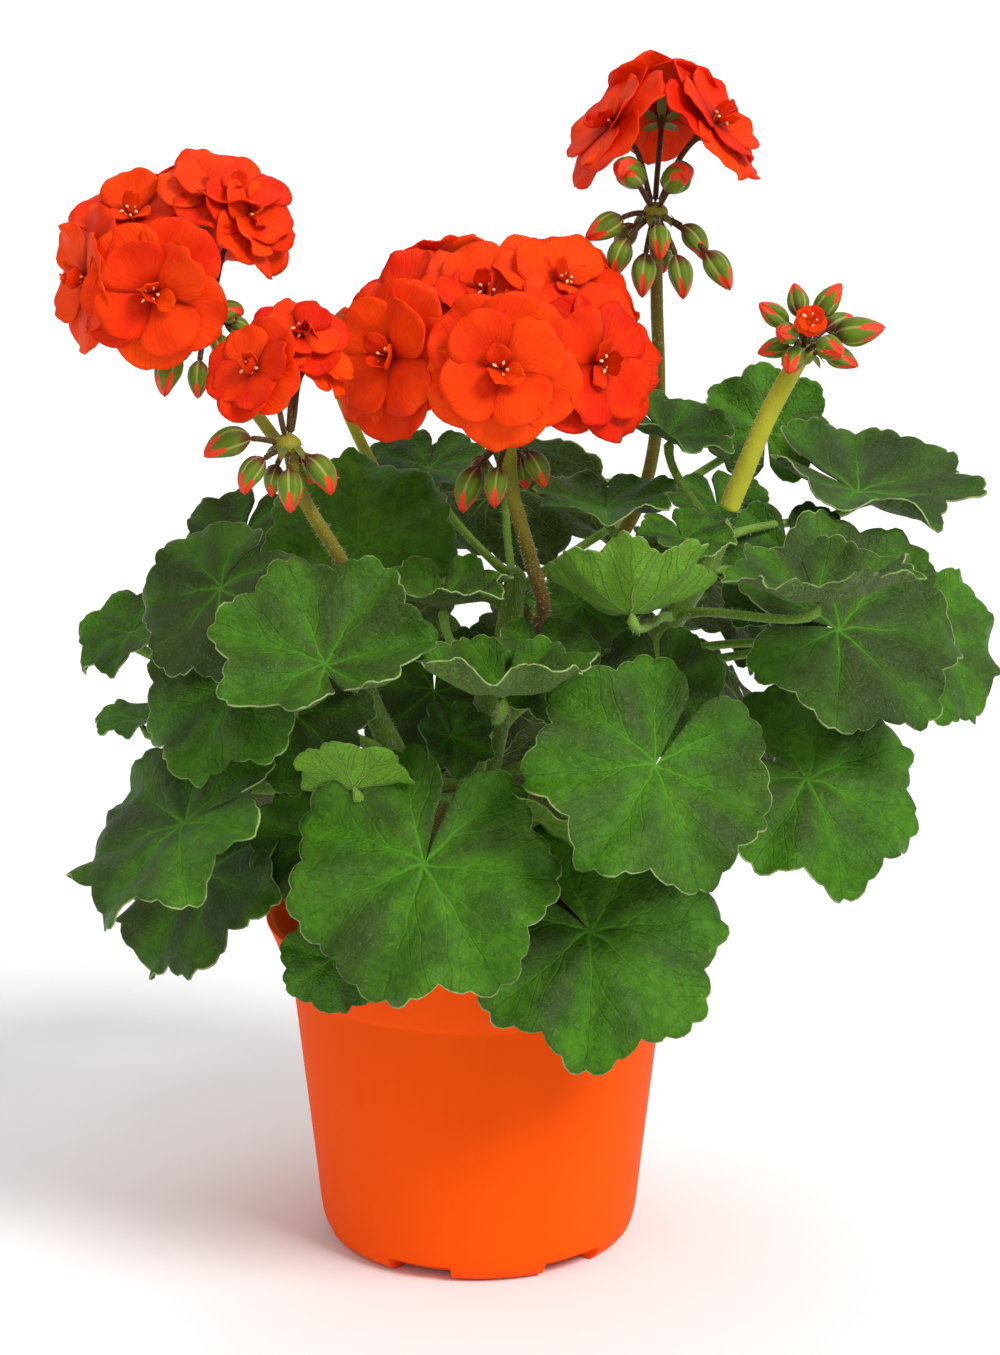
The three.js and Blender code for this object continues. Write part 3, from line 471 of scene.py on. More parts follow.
def smooth_path(corners, count):
    """Evenly spaced points on the smooth curve through the given corners."""
    corners = [Vector(corner) for corner in corners]
    chain = [2 * corners[0] - corners[1], *corners, 2 * corners[-1] - corners[-2]]
    dense = []
    for before, start, end, after in zip(chain, chain[1:], chain[2:], chain[3:]):
        first = (start - before).length ** 0.5
        middle = (end - start).length ** 0.5
        last = (after - end).length ** 0.5
        leave = (start - before) / first - (end - before) / (first + middle)
        leave = leave * middle + (end - start)
        arrive = (after - start) / (middle + last) - (after - end) / last
        arrive = (end - start) - arrive * middle
        first_handle, last_handle = start + leave / 3, end - arrive / 3
        dense += geometry.interpolate_bezier(start, first_handle, last_handle, end, 24)[:-1]
    return evenly([*dense, corners[-1]], count)


def add_rod(mesh, path, radii, sides, tone, ribs=0.0, rib_count=5, material=0):
    """A rod along evenly spaced points, with a radius for each. Radius 0 closes an end."""
    pairs = zip([path[0], *path], [*path[1:], path[-1]])
    tangents = [(after - before).normalized() for before, after in pairs]
    across = tangents[0].orthogonal().normalized()
    frames = []
    for tangent in tangents:
        across = (across - tangent * across.dot(tangent)).normalized()
        frames.append((across, tangent.cross(across)))

    def rod_point(u, v):
        row = round(v * (len(path) - 1))
        turn = 2 * pi * u
        radius = radii[row] * (1 + ribs * cos(rib_count * turn))
        right, over = frames[row]
        return path[row] + (right * cos(turn) + over * sin(turn)) * radius

    add_sheet(mesh, sides, len(path) - 1, rod_point, tone, material=material)


def add_down(mesh, path, radii, count, length, luck, material):
    """Short stiff hairs that stand out from a rod, each a thin three-sided cone."""
    for _ in range(count):
        spot = luck.uniform(0.5, len(path) - 1.5)
        step = int(spot)
        middle = path[step].lerp(path[step + 1], spot - step)
        tangent = (path[step + 1] - path[step]).normalized()
        turn = Quaternion(tangent, luck.uniform(0, 2 * pi))
        outward = turn @ tangent.orthogonal().normalized()
        lean = (outward + tangent * luck.uniform(-0.5, 0.5)).normalized()
        tall = length * luck.uniform(0.6, 1.2)
        skin_radius = max(radii[step], radii[step + 1]) * 0.9
        place = middle + outward * skin_radius + lean * tall / 2
        stand = Matrix.Translation(place) @ lean.to_track_quat("Z", "Y").to_matrix().to_4x4()
        points = bmesh.ops.create_cone(mesh, segments=3, radius1=HAIR_RADIUS, radius2=0, depth=tall,
                                       cap_ends=True, matrix=stand)["verts"]
        for face in {face for point in points for face in point.link_faces}:
            face.material_index = material


def margin_reach(size, angle):
    """How far the rounded blade's margin is from the hub, before its lobes and teeth are cut."""
    offset = HUB_OFFSET * cos(angle) + sqrt(1 - (HUB_OFFSET * sin(angle)) ** 2)
    return size * offset * (1 + WIDENING * sin(angle) ** 2)


def add_blade(mesh, leaf, number):
    """One leaf blade, a sheet that runs round its hub from one side of the slit to the other."""
    hub, face, tilt, spin, size, bends, fresh = leaf[1:]
    out, along, side = facing(face, tilt, spin)
    tip, right, back, left = bends
    luck = random.Random(number)
    phase = luck.uniform(0, 6)
    frill = luck.uniform(0.8, 1.25)
    drift = Vector((luck.uniform(0, 90), luck.uniform(0, 90), 0))
    teeth = TEETH if size > BIG_BLADE else SMALL_BLADE_TEETH

    def spread(u, v):
        angle = (0.5 - u) * LOBES * LOBE_TURN
        lobe = (u * LOBES) % 1
        round_about = Vector((cos(angle), sin(angle), 0))
        cut = 1 - LOBE_CUT * abs(cos(pi * lobe)) ** 3
        cut += TOOTH_CUT * (abs(sin(pi * teeth * lobe)) ** 0.6 - 0.7)
        cut += MARGIN_WANDER * noise.noise(drift + round_about * 2.1)
        corner = max(0.0, (abs(u - 0.5) - 0.455) / 0.045)
        reach = v ** 0.8 * margin_reach(size, angle) * (1 + (cut - 1) * v * v)
        return angle, lobe, reach * (1 - SLIT_CORNER * corner ** 2 * v)

    def blade_point(u, v):
        angle, lobe, reach = spread(u, v)
        share = reach / size
        ahead, beside = cos(angle), sin(angle)
        bend = (tip if ahead > 0 else back) * ahead ** 2
        bend += (right if beside > 0 else left) * beside ** 2
        curve = radians(bend or 0.1) / size
        turn = curve * reach
        outward = along * ahead + side * beside
        skin = out * cos(turn) - outward * sin(turn)
        wave = WAVE * share ** 3 * sin(WAVES * angle + number % 100 * GOLDEN_ANGLE)
        pleat = PLEAT * share ** 1.2 * (abs(cos(pi * lobe)) ** 1.4 - 0.45)
        frills = sin(9 * angle + phase) + 0.5 * sin(17 * angle + 2 * phase)
        ruffle = RUFFLE * frill * share ** 4 * frills
        spot = Vector((ahead, beside, 0)) * share
        lump = LUMP * share * noise.noise(drift + spot * 2.2)
        lump += FINE_LUMP * share * noise.noise(drift - spot * 6)
        curl = -RIM_CURL * share ** 7
        dimple = -HUB_DIMPLE * exp(-(reach / 4) ** 2)
        lift = (pleat + ruffle + lump + curl) * size + dimple
        return (Vector(hub) + outward * (sin(turn) / curve)
                + out * ((1 - cos(turn)) / curve + wave * size) + skin * lift)

    def blade_marks(u, v):
        angle, _, reach = spread(u, v)
        return cos(angle) * reach / size, sin(angle) * reach / size, v

    add_sheet(mesh, LOBES * 4 * teeth, 14, blade_point, fresh, blade_marks)


def petiole_path(leaf, stem):
    """A leaf's stalk from just inside its hub to the middle of its stem."""
    out, along, _ = facing(*leaf[2:5])
    root = stem[round(leaf[0] * (len(stem) - 1))]
    hub = Vector(leaf[1]) + along * 1.8 - out * 1.1
    length = (hub - root).length
    level = Vector((hub.x - root.x, hub.y - root.y, 0)).normalized()
    last = root + level * 0.2 * length + Vector((0, 0, 0.16 * length))
    first = hub - out * min(0.3 * length, 14)
    return evenly(geometry.interpolate_bezier(hub, first, last, root, 40), PETIOLE_POINTS)


def leaf_pattern(finish):
    """The veins of a leaf on its own flat map: one to each lobe, forking towards the margin, and
    a fine net. All of them wander a little."""
    flat = finish.flat()
    wander = finish.node("ShaderNodeTexNoise", {}, {"Vector": flat, "Scale": 3.2, "Detail": 2}, 1)
    shift = {0: wander, 1: (0.5, 0.5, 0.5)}
    shift = finish.node("ShaderNodeVectorMath", {"operation": "SUBTRACT"}, shift)
    shift = {0: shift, "Scale": 0.12}
    shift = finish.node("ShaderNodeVectorMath", {"operation": "SCALE"}, shift)
    flat = finish.node("ShaderNodeVectorMath", {"operation": "ADD"}, {0: flat, 1: shift})
    ahead, beside = flat.parts()
    reach = (ahead * ahead + beside * beside).math("SQRT")
    lobe = beside.math("ARCTAN2", ahead) / LOBE_TURN
    turn = (lobe - lobe.math("ROUND")) * LOBE_TURN
    along = reach * turn.math("COSINE")
    aside = (reach * turn.math("SINE")).math("ABSOLUTE")
    width = (1.2 - reach) * 0.012
    main = 1 - (aside / width).rise(0.3, 1.7)
    forks = None
    for start, slope, strength in ((0.26, 27, 0.9), (0.5, 33, 0.7), (0.7, 38, 0.5)):
        slope = radians(slope)
        along_fork = along - start
        distance = (aside * cos(slope) - along_fork * sin(slope)).math("ABSOLUTE")
        fork = (1 - (distance / width).rise(0.2, 1.5)) * along_fork.rise(0, 0.03) * strength
        forks = fork if forks is None else forks.math("MAXIMUM", fork)
    near_vein = 1 - (aside / (reach * 0.42 + 0.03)).rise(0.0, 1.0)
    net_settings = {"feature": "DISTANCE_TO_EDGE"}
    cells = finish.node("ShaderNodeTexVoronoi", net_settings, {"Vector": flat, "Scale": 13})
    return reach, main, forks, near_vein, cells


leaf_top = Finish("leaf_upper_side", {"Specular IOR Level": 0.13, "Sheen Weight": 0.03,
                                      "Sheen Roughness": 0.4})
reach, main, forks, near_vein, cells = leaf_pattern(leaf_top)
leaf_place = leaf_top.place()
edge = leaf_top.mark("edge")
fresh = leaf_top.mark("tone")
blotches = leaf_top.grain(leaf_place, 60, 4, 0.6)
soft_blotches = leaf_top.grain(leaf_place, 24, 2)
fine_blotches = leaf_top.grain(leaf_place, 260, 4, 0.7)
down_specks = leaf_top.grain(leaf_place, 1500, 1)
old_green = leaf_top.blend(blotches, (0.011, 0.027, 0.004), (0.065, 0.105, 0.018))
young_green = leaf_top.blend(blotches, (0.016, 0.085, 0.0015), (0.1, 0.29, 0.008))
liveliness = (fresh + soft_blotches * 1.7 + near_vein * 0.35 - 1.05).rise(0, 0.8)
leaf_colour = leaf_top.blend(liveliness, old_green, young_green)
zone_reach = reach + blotches * 0.2
zone = zone_reach.rise(0.5, 0.64) * (1 - zone_reach.rise(0.76, 0.95)) * (1.2 - near_vein)
leaf_colour = leaf_top.blend(zone * 0.2, leaf_colour, (0.026, 0.034, 0.012))
dark_blotches = fine_blotches.rise(0.35, 0.62)
leaf_colour = leaf_top.blend(dark_blotches * 0.35, leaf_colour, (0.012, 0.035, 0.003))
vein = (main * (1.05 - reach)).math("MAXIMUM", forks * (1 - reach) * 0.55)
leaf_colour = leaf_top.blend(vein * 0.65, leaf_colour, (0.085, 0.27, 0.015))
leaf_colour = leaf_top.blend(down_specks.rise(0.6, 0.72) * 0.14, leaf_colour, (0.3, 0.38, 0.16))
margin_line = edge.rise(0.984, 0.994) * blotches.rise(0.3, 0.6)
leaf_colour = leaf_top.blend(margin_line * 0.75, leaf_colour, (0.4, 0.5, 0.2))
leaf_top.give("Base Color", leaf_colour)
leaf_top.give("Roughness", blotches * 0.2 + 0.42)
puffed = cells.rise(0, 0.4) * 0.16 - main.math("MAXIMUM", forks) * 0.2
leaf_top.relief(puffed + blotches + down_specks * 0.15 + fine_blotches * 0.5, 0.0011)

leaf_under = Finish("leaf_under_side", {"Specular IOR Level": 0.12, "Sheen Weight": 0.05,
                                        "Roughness": 0.6})
reach, main, forks, _, cells = leaf_pattern(leaf_under)
under_place = leaf_under.place()
under_cloud = leaf_under.grain(under_place, 45, 3)
under_specks = leaf_under.grain(under_place, 1500, 1)
grey_green = leaf_under.blend(under_cloud, (0.03, 0.055, 0.008), (0.075, 0.12, 0.022))
lime_green = leaf_under.blend(under_cloud, (0.07, 0.2, 0.006), (0.17, 0.38, 0.02))
under_colour = leaf_under.blend(leaf_under.mark("tone").rise(0.4, 0.85), grey_green, lime_green)
ridges = main.math("MAXIMUM", forks)
net = 1 - cells.rise(0.0, 0.14)
under_colour = leaf_under.blend(ridges * (1.2 - reach) * 0.7, under_colour, (0.3, 0.5, 0.08))
under_colour = leaf_under.blend(net * 0.2, under_colour, (0.2, 0.36, 0.05))
pale_specks = under_specks.rise(0.62, 0.7)
under_colour = leaf_under.blend(pale_specks * 0.2, under_colour, (0.5, 0.55, 0.3))
leaf_under.give("Base Color", under_colour)
leaf_under.relief(ridges + net * 0.2 + under_cloud * 0.5, 0.0008)

green_stem = Finish("downy_green_stem", {"Specular IOR Level": 0.15, "Sheen Weight": 0.05})
stem_place = green_stem.place()
stem_cloud = green_stem.grain(stem_place, 120, 4)
stem_down = green_stem.grain(green_stem.squeezed(stem_place, (1, 1, 0.25)), 2600, 1)
young_stem = green_stem.blend(stem_cloud, (0.07, 0.2, 0.008), (0.24, 0.42, 0.04))
old_stem = green_stem.blend(stem_cloud, (0.035, 0.032, 0.006), (0.1, 0.085, 0.02))
stem_colour = green_stem.blend(green_stem.mark("tone"), young_stem, old_stem)
stem_colour = green_stem.blend(stem_down.rise(0.58, 0.68) * 0.35, stem_colour, (0.6, 0.65, 0.45))
green_stem.give("Base Color", stem_colour)
green_stem.give("Roughness", stem_cloud * 0.2 + 0.42)
green_stem.relief(stem_cloud * 0.6 + stem_down * 0.4, 0.0004)

down = Finish("pale_down", {"Roughness": 0.7, "Specular IOR Level": 0.2})
down_cloud = down.grain(down.place(), 90)
down_colour = down.blend(down_cloud, (0.35, 0.42, 0.18), (0.65, 0.68, 0.45))
down.give("Base Color", down_colour)


def thicken(sheets, thickness, offset, back_finish=0):
    """Gives sheets their thickness. back_finish counts on from the front's finish in their list."""
    wall = sheets.modifiers.new("thickness", "SOLIDIFY")
    wall.thickness = thickness
    wall.offset = offset
    wall.material_offset = back_finish


for stem_number, (stem_name, stem) in enumerate(STEMS.items()):
    stem_path = smooth_path(stem["path"], STEM_POINTS)
    stem_mesh = new_mesh()
    swellings = [1 + 0.09 * cos(i * 0.55 + stem_number) for i in range(1, STEM_POINTS - 2)]
    stem_radii = [stem["radius"] * share for share in [0.0, *swellings, 0.75, 0.0]]
    add_rod(stem_mesh, stem_path, stem_radii, sides=14, tone=0.35)
    luck = random.Random(60 + stem_number)
    out_of_soil = slice(20, None)
    add_down(stem_mesh, stem_path[out_of_soil], stem_radii[out_of_soil], 350, 1.5, luck,
             DOWN_ON_STEM)
    for leaf in stem["leaves"]:
        path = petiole_path(leaf, stem_path)
        radii = [0.0, 1.7, 1.5] + [1.35] * 9 + [1.45, 1.6, 1.9, 0.0]
        petiole_tone = 0.05 + 0.2 * (1 - leaf[7])
        add_rod(stem_mesh, path, radii, 9, petiole_tone, ribs=0.06, rib_count=4)
        add_down(stem_mesh, path, radii, 80, 1.3, luck, DOWN_ON_STEM)
    stem_piece = finished_piece("stem_" + stem_name, stem_mesh, [green_stem, down])
    blade_mesh = new_mesh()
    for number, leaf in enumerate(stem["leaves"]):
        add_blade(blade_mesh, leaf, 100 * stem_number + number)
    blades = finished_piece("leaves_" + stem_name, blade_mesh, [leaf_top, leaf_under])
    thicken(blades, BLADE_THICKNESS, -1, back_finish=1)
    for piece in (stem_piece, blades):
        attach(piece, "root")
        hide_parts("leafy_stem_" + stem_name)

# The flower heads: each on a long downy stalk that swells to a knob. Thin pedicels spring from it,
# some to open florets and some to buds, whose green sepals part at the tip over the red petals.
# A floret is (hub, facing, tilt, spin, size), and a bud is (middle, thickness, pointing).
UMBELS = {
    "left": {
        "stem": "left",
        "stalk": [
            [-39, -15, 184], [-45, 3, 212], [-51, 5, 236], [-62, -10, 256], [-72, -26, 276],
            [-78, -30, 292],
        ],
        "radius": 1.9,
        "florets": [
            ((-91, -54, 304), -8, 80, 0, 23),
            ((-111, -38, 306), -66, 80, 10, 22),
            ((-99, -21, 320), -30, 28, 0, 22),
            ((-72, -20, 327), 30, 25, 30, 22),
            ((-65, -26, 320), 62, 60, 0, 18),
            ((-84, 0, 316), 180, 60, 0, 22),
        ],
        "buds": [
            ((-89, -48, 280), 7.6, (0, 0, -1)),
            ((-80, -42, 277), 6.2, (0, 0, -1)),
            ((-68, -30, 299), 6.6, (0, 0, -1)),
            ((-72, -36, 284), 5.8, (0, 0, -1)),
            ((-67, -24, 290), 5.5, (0, 0, -1)),
        ],
    },
    "low": {
        "stem": "left",
        "stalk": [
            [-37, -20, 185], [-32, -44, 204], [-37, -54, 223], [-50, -68, 251], [-53, -70, 265],
        ],
        "radius": 2,
        "florets": [
            ((-61, -84.5, 288.5), -35, 60, 0, 16.5),
            ((-49, -72, 296), 20, 38, 20, 14.5),
            ((-43, -66, 289), 78, 60, 0, 14),
        ],
        "buds": [
            ((-71, -74, 266), 8, (-0.7, -0.4, -0.5)),
            ((-65, -76, 257), 6.6, (0, 0, -1)),
            ((-58, -66, 253), 5.5, (0, 0, -1)),
            ((-52, -80, 253), 7, (0, 0, -1)),
            ((-47, -62, 256), 5.8, (0, 0, -1)),
            ((-41, -74, 257), 7.3, (0, 0, -1)),
        ],
    },
    "centre": {
        "stem": "centre",
        "stalk": [[6, -23, 187], [19, -34, 205], [15, -39, 225], [10, -41, 245], [9, -40, 261]],
        "radius": 2.2,
        "florets": [
            ((7, -69, 285.5), 0, 80, 0, 24),
            ((34.5, -53, 284), 42, 80, 10, 24.5),
            ((-24, -54, 286), -40, 76, 20, 24.5),
            ((-19, -34, 298), -40, 38, 0, 22.5),
            ((3, -40, 301), 0, 40, 0, 22),
            ((25, -32, 302.5), 35, 35, 10, 23),
            ((-10, -4, 298), -150, 50, 0, 23),
            ((26, -4, 296), 150, 52, 0, 23),
        ],
        "buds": [
            ((-4, -48, 246), 7.6, (0, 0, -1)),
            ((5, -54, 248), 6.6, (0, 0, -1)),
            ((19, -46, 252), 6.6, (0, 0, -1)),
            ((14, -28, 247), 6.2, (0, 0, -1)),
            ((0, -26, 247), 5.8, (0, 0, -1)),
        ],
    },
    "tall": {
        "stem": "back",
        "stalk": [
            [13, 28, 188], [32, 30, 200], [48, 28, 222], [54, 22, 250], [53, 6, 292], [52, 0, 319],
        ],
        "radius": 2,
        "florets": [
            ((39.5, -6, 345), -75, 50, 0, 22.5),
            ((68.5, -4, 345), 75, 50, 20, 22.5),
            ((54, 13, 347), 180, 58, 0, 21),
        ],
        "buds": [
            ((41, -16, 338), 8.2, (0, 0, -1)),
            ((61, -15, 337), 8.2, (0, 0, -1)),
            ((37, -8, 315), 7.3, (-1, -0.2, -0.5)),
            ((40, -11, 307), 7, (0, 0, -1)),
            ((48, -15, 302), 7, (0, 0, -1)),
            ((53, -18, 313), 6.2, (0, 0, -1)),
            ((60, -12, 301), 7, (0, 0, -1)),
            ((66, -5, 311), 6.6, (0, 0, -1)),
            ((71, -10, 303), 7.3, (0.5, -0.1, -1)),
            ((42, 5, 310), 6.2, (0, 0, -1)),
            ((55, 10, 304), 6.2, (0, 0, -1)),
        ],
    },
    "budding": {
        "stem": "right",
        "stalk": [[73, -29, 235.5], [77, -30, 246], [84, -31, 264], [94, -30, 283]],
        "radius": 2.9,
        "florets": [
            ((95, -46, 295), 0, 70, 0, 5),
        ],
        "buds": [
            ((85, -35, 295), 6.2, (-0.8, -0.2, 0.6)),
            ((85, -36, 285), 5.8, (-0.9, -0.4, -0.2)),
            ((90, -42, 283), 6.6, (-0.2, -0.8, -0.5)),
            ((88, -44, 291), 6.2, (-0.4, -0.9, 0.2)),
            ((101, -34, 299), 6.6, (0.6, 0, 0.8)),
            ((101, -46, 287), 7, (0.4, -0.9, -0.1)),
            ((110, -36, 290), 8.2, (1, -0.1, 0.2)),
            ((105, -34, 282), 6.2, (0.8, -0.3, -0.4)),
            ((93, -20, 296), 6.2, (-0.2, 0.5, 0.9)),
            ((105, -22, 290), 6.2, (0.8, 0.6, 0.2)),
        ],
    },
    "rear": {
        "stem": "back",
        "stalk": [
            [8, 27, 198], [-6, 25, 206], [-23, 20, 224], [-33, 17, 241], [-43, 12, 268],
            [-43, 10, 277],
        ],
        "radius": 1.8,
        "florets": [],
        "buds": [
            ((-40, 7, 285), 5.2, (0.2, -0.2, 1)),
            ((-48, 7, 283), 5.2, (-0.7, -0.3, 0.6)),
            ((-49, 13, 278), 5, (-0.9, 0.3, 0)),
            ((-37, 14, 281), 5.2, (0.7, 0.4, 0.4)),
            ((-44, 18, 281), 5.2, (-0.1, 0.9, 0.4)),
            ((-38, 4, 277), 5, (0.5, -0.8, 0)),
        ],
    },
}
KNOB_RADII = (0, 2.1, 2.7, 3.3, 3.6, 3.6, 3.2, 2.2, 0)
BRACTS = 6
STALK_POINTS = 50
PEDICEL_RADIUS = 0.85
PEDICEL_STEPS = 29
BUD_GROWTH = 1.05
BUD_SLENDERNESS = 1.7
BUD_BULGE = (0, 0.38, 0.66, 0.84, 0.94, 0.99, 1, 0.98, 0.92, 0.84, 0.74, 0.61, 0.46, 0.3, 0)
SEPALS = STAMENS = 5
BUD, SEPAL, STAMEN, DOWN_ON_STALK = 1, 2, 3, 4


def pedicel_path(knob, end, aim, count):
    """A curve from inside the knob to a flower or bud, which it reaches in the direction aim."""
    outward = (end - knob).normalized()
    length = (end - knob).length
    start = knob + outward * (max(KNOB_RADII) - 1.2)
    rise = knob + outward * 0.4 * length + Vector((0, 0, 0.15 * length))
    arrival = end - aim * 0.4 * length
    return evenly(geometry.interpolate_bezier(start, rise, arrival, end, 40), count)


def add_bud(mesh, bud, knob, luck):
    """One bud. It follows the end of its pedicel's curve, so the two always meet."""
    middle, thick, aim = bud
    thick = thick * BUD_GROWTH
    aim = Vector(aim).normalized()
    length = thick * BUD_SLENDERNESS
    path = pedicel_path(knob, Vector(middle) + aim * length / 2, aim, PEDICEL_STEPS + 1)
    total = (path[-1] - path[-2]).length * PEDICEL_STEPS
    start = max(0.1, 1 - length / total)
    thin_rows = max(3, round(start * PEDICEL_STEPS))
    radii = [0.0] + [PEDICEL_RADIUS] * (thin_rows - 1) + [0.0]
    add_rod(mesh, path[:thin_rows + 1], radii, sides=7, tone=1.0)
    body = evenly(path[thin_rows - 1:], len(BUD_BULGE))
    bulge = [share * thick / 2 for share in BUD_BULGE]
    add_rod(mesh, body, bulge, sides=15, tone=0.5, ribs=0.05, material=BUD)
    thin_radii = [PEDICEL_RADIUS] * thin_rows
    add_down(mesh, path[:thin_rows], thin_radii, 25, 1.1, luck, DOWN_ON_STALK)
    add_down(mesh, body[:12], bulge[:12], 30, 0.9, luck, DOWN_ON_STALK)


def add_calyx(mesh, floret, knob):
    """A floret's pedicel, its five reflexed sepals and its stamens with their anthers."""
    hub, face, tilt, spin, size = floret
    out, along, side = facing(face, tilt, spin)
    radii = [0.0] + [PEDICEL_RADIUS] * 15 + [0.9, 1.1, 1.5, 1.9, 2.1, 0.0]
    path = pedicel_path(knob, Vector(hub) - out * 1.2, out, len(radii))
    add_rod(mesh, path, radii, sides=8, tone=1.0)
    sepal_length = min(8, 0.38 * size)
    for number in range(SEPALS):
        turn = radians(72 * number + 36)
        outward = along * cos(turn) + side * sin(turn)
        across = out.cross(outward)

        def sepal_point(u, v):
            width = 1.5 * sin(pi * min(1, 0.15 + 0.85 * v)) ** 0.7
            droop = out * (-4.5 + 3.2 * v - 0.9 * (2 * u - 1) ** 2 * (1 - v))
            spine = Vector(hub) + droop + outward * (1.2 + sepal_length * v)
            return spine - across * (2 * u - 1) * width

        add_sheet(mesh, 4, 6, sepal_point, 0.45, material=SEPAL)
    for number in range(STAMENS):
        turn = radians(72 * number + 20)
        lean = (along * cos(turn) + side * sin(turn)) * (0.7 + 0.15 * number)
        foot = Vector(hub) + lean * 0.5
        head = foot + out * (0.1 + 0.015 * number) * size + lean * 1.3
        thread = evenly([foot, head], 6)
        add_rod(mesh, thread, [0.0, 0.3, 0.28, 0.28, 0.28, 0.0], 5, 0.9, material=STAMEN)
        ripe = 0.1 if number % 2 else 0.42
        anther = evenly([head - lean * 0.5, head + out * 0.3, head + lean], 5)
        add_rod(mesh, anther, [0, 0.35, 0.5, 0.35, 0], 6, ripe, material=STAMEN)


stalk_skin = Finish("downy_flower_stalk", {"Specular IOR Level": 0.15, "Sheen Weight": 0.05})
stalk_place = stalk_skin.place()
stalk_cloud = stalk_skin.grain(stalk_place, 150, 4)
stalk_down = stalk_skin.grain(stalk_place, 2200, 1)
lime_stalk = stalk_skin.blend(stalk_cloud, (0.3, 0.34, 0.008), (0.62, 0.58, 0.03))
maroon_stalk = stalk_skin.blend(stalk_cloud, (0.035, 0.014, 0.002), (0.12, 0.045, 0.006))
stalk_colour = stalk_skin.blend(stalk_skin.mark("tone"), lime_stalk, maroon_stalk)
stalk_specks = stalk_down.rise(0.58, 0.68)
stalk_colour = stalk_skin.blend(stalk_specks * 0.15, stalk_colour, (0.65, 0.65, 0.5))
stalk_skin.give("Base Color", stalk_colour)
stalk_skin.give("Roughness", stalk_cloud * 0.2 + 0.4)
stalk_skin.relief(stalk_cloud * 0.5 + stalk_down * 0.5, 0.0003)

bud_skin = Finish("bud_sepals", {"Specular IOR Level": 0.2, "Sheen Weight": 0.03})
bud_round, bud_up = bud_skin.flat().parts()
bud_cloud = bud_skin.grain(bud_skin.place(), 220, 3)
sepal_wave = (bud_round * (10 * pi)).math("COSINE")
sepal_green = bud_skin.blend(bud_cloud, (0.045, 0.1, 0.004), (0.2, 0.29, 0.015))
bud_foot = 1 - (bud_up + bud_cloud * 0.2).rise(0.2, 0.5)
bud_seams = (sepal_wave * -1).rise(0.8, 0.97)
bud_tip = (bud_up - sepal_wave * 0.14 + bud_cloud * 0.3).rise(0.8, 0.9)
bud_colour = bud_skin.blend(bud_foot, sepal_green, (0.13, 0.03, 0.015))
bud_colour = bud_skin.blend(bud_seams * 0.5, bud_colour, (0.5, 0.5, 0.14))
bud_colour = bud_skin.blend(bud_tip, bud_colour, (0.85, 0.05, 0.012))
bud_skin.give("Base Color", bud_colour)
bud_skin.give("Roughness", bud_cloud * 0.2 + 0.4)
bud_skin.relief(bud_cloud + sepal_wave * 0.6, 0.0004)

sepal_skin = Finish("open_sepals", {"Specular IOR Level": 0.15, "Roughness": 0.5})
sepal_cloud = sepal_skin.grain(sepal_skin.place(), 260, 3)
sepal_colour = sepal_skin.blend(sepal_cloud, (0.08, 0.1, 0.02), (0.2, 0.24, 0.05))
sepal_tip = sepal_skin.mark("edge").rise(0.5, 1)
sepal_skin.give("Base Color", sepal_skin.blend(sepal_tip * 0.6, sepal_colour, (0.2, 0.05, 0.02)))
sepal_skin.relief(sepal_cloud, 0.0003)

stamen_skin = Finish("stamens", {"Specular IOR Level": 0.2, "Roughness": 0.6})
stamen_cloud = stamen_skin.grain(stamen_skin.place(), 600, 2)
pollen = stamen_skin.blend(stamen_cloud, (0.8, 0.55, 0.2), (0.9, 0.75, 0.45))
threads = stamen_skin.mark("tone").rise(0.3, 0.6)
stamen_skin.give("Base Color", stamen_skin.blend(threads, pollen, (0.75, 0.12, 0.03)))
stamen_skin.relief(stamen_cloud, 0.0002)

# How brown each stalk is at its foot and at its knob, from 0, lime green, to 1, maroon.
STALK_TONES = {"left": (0.6, 0.5), "low": (0.8, 0.55), "centre": (1.0, 0.2),
               "tall": (0.75, 0.85), "budding": (0.0, 0.15), "rear": (0.2, 0.2)}

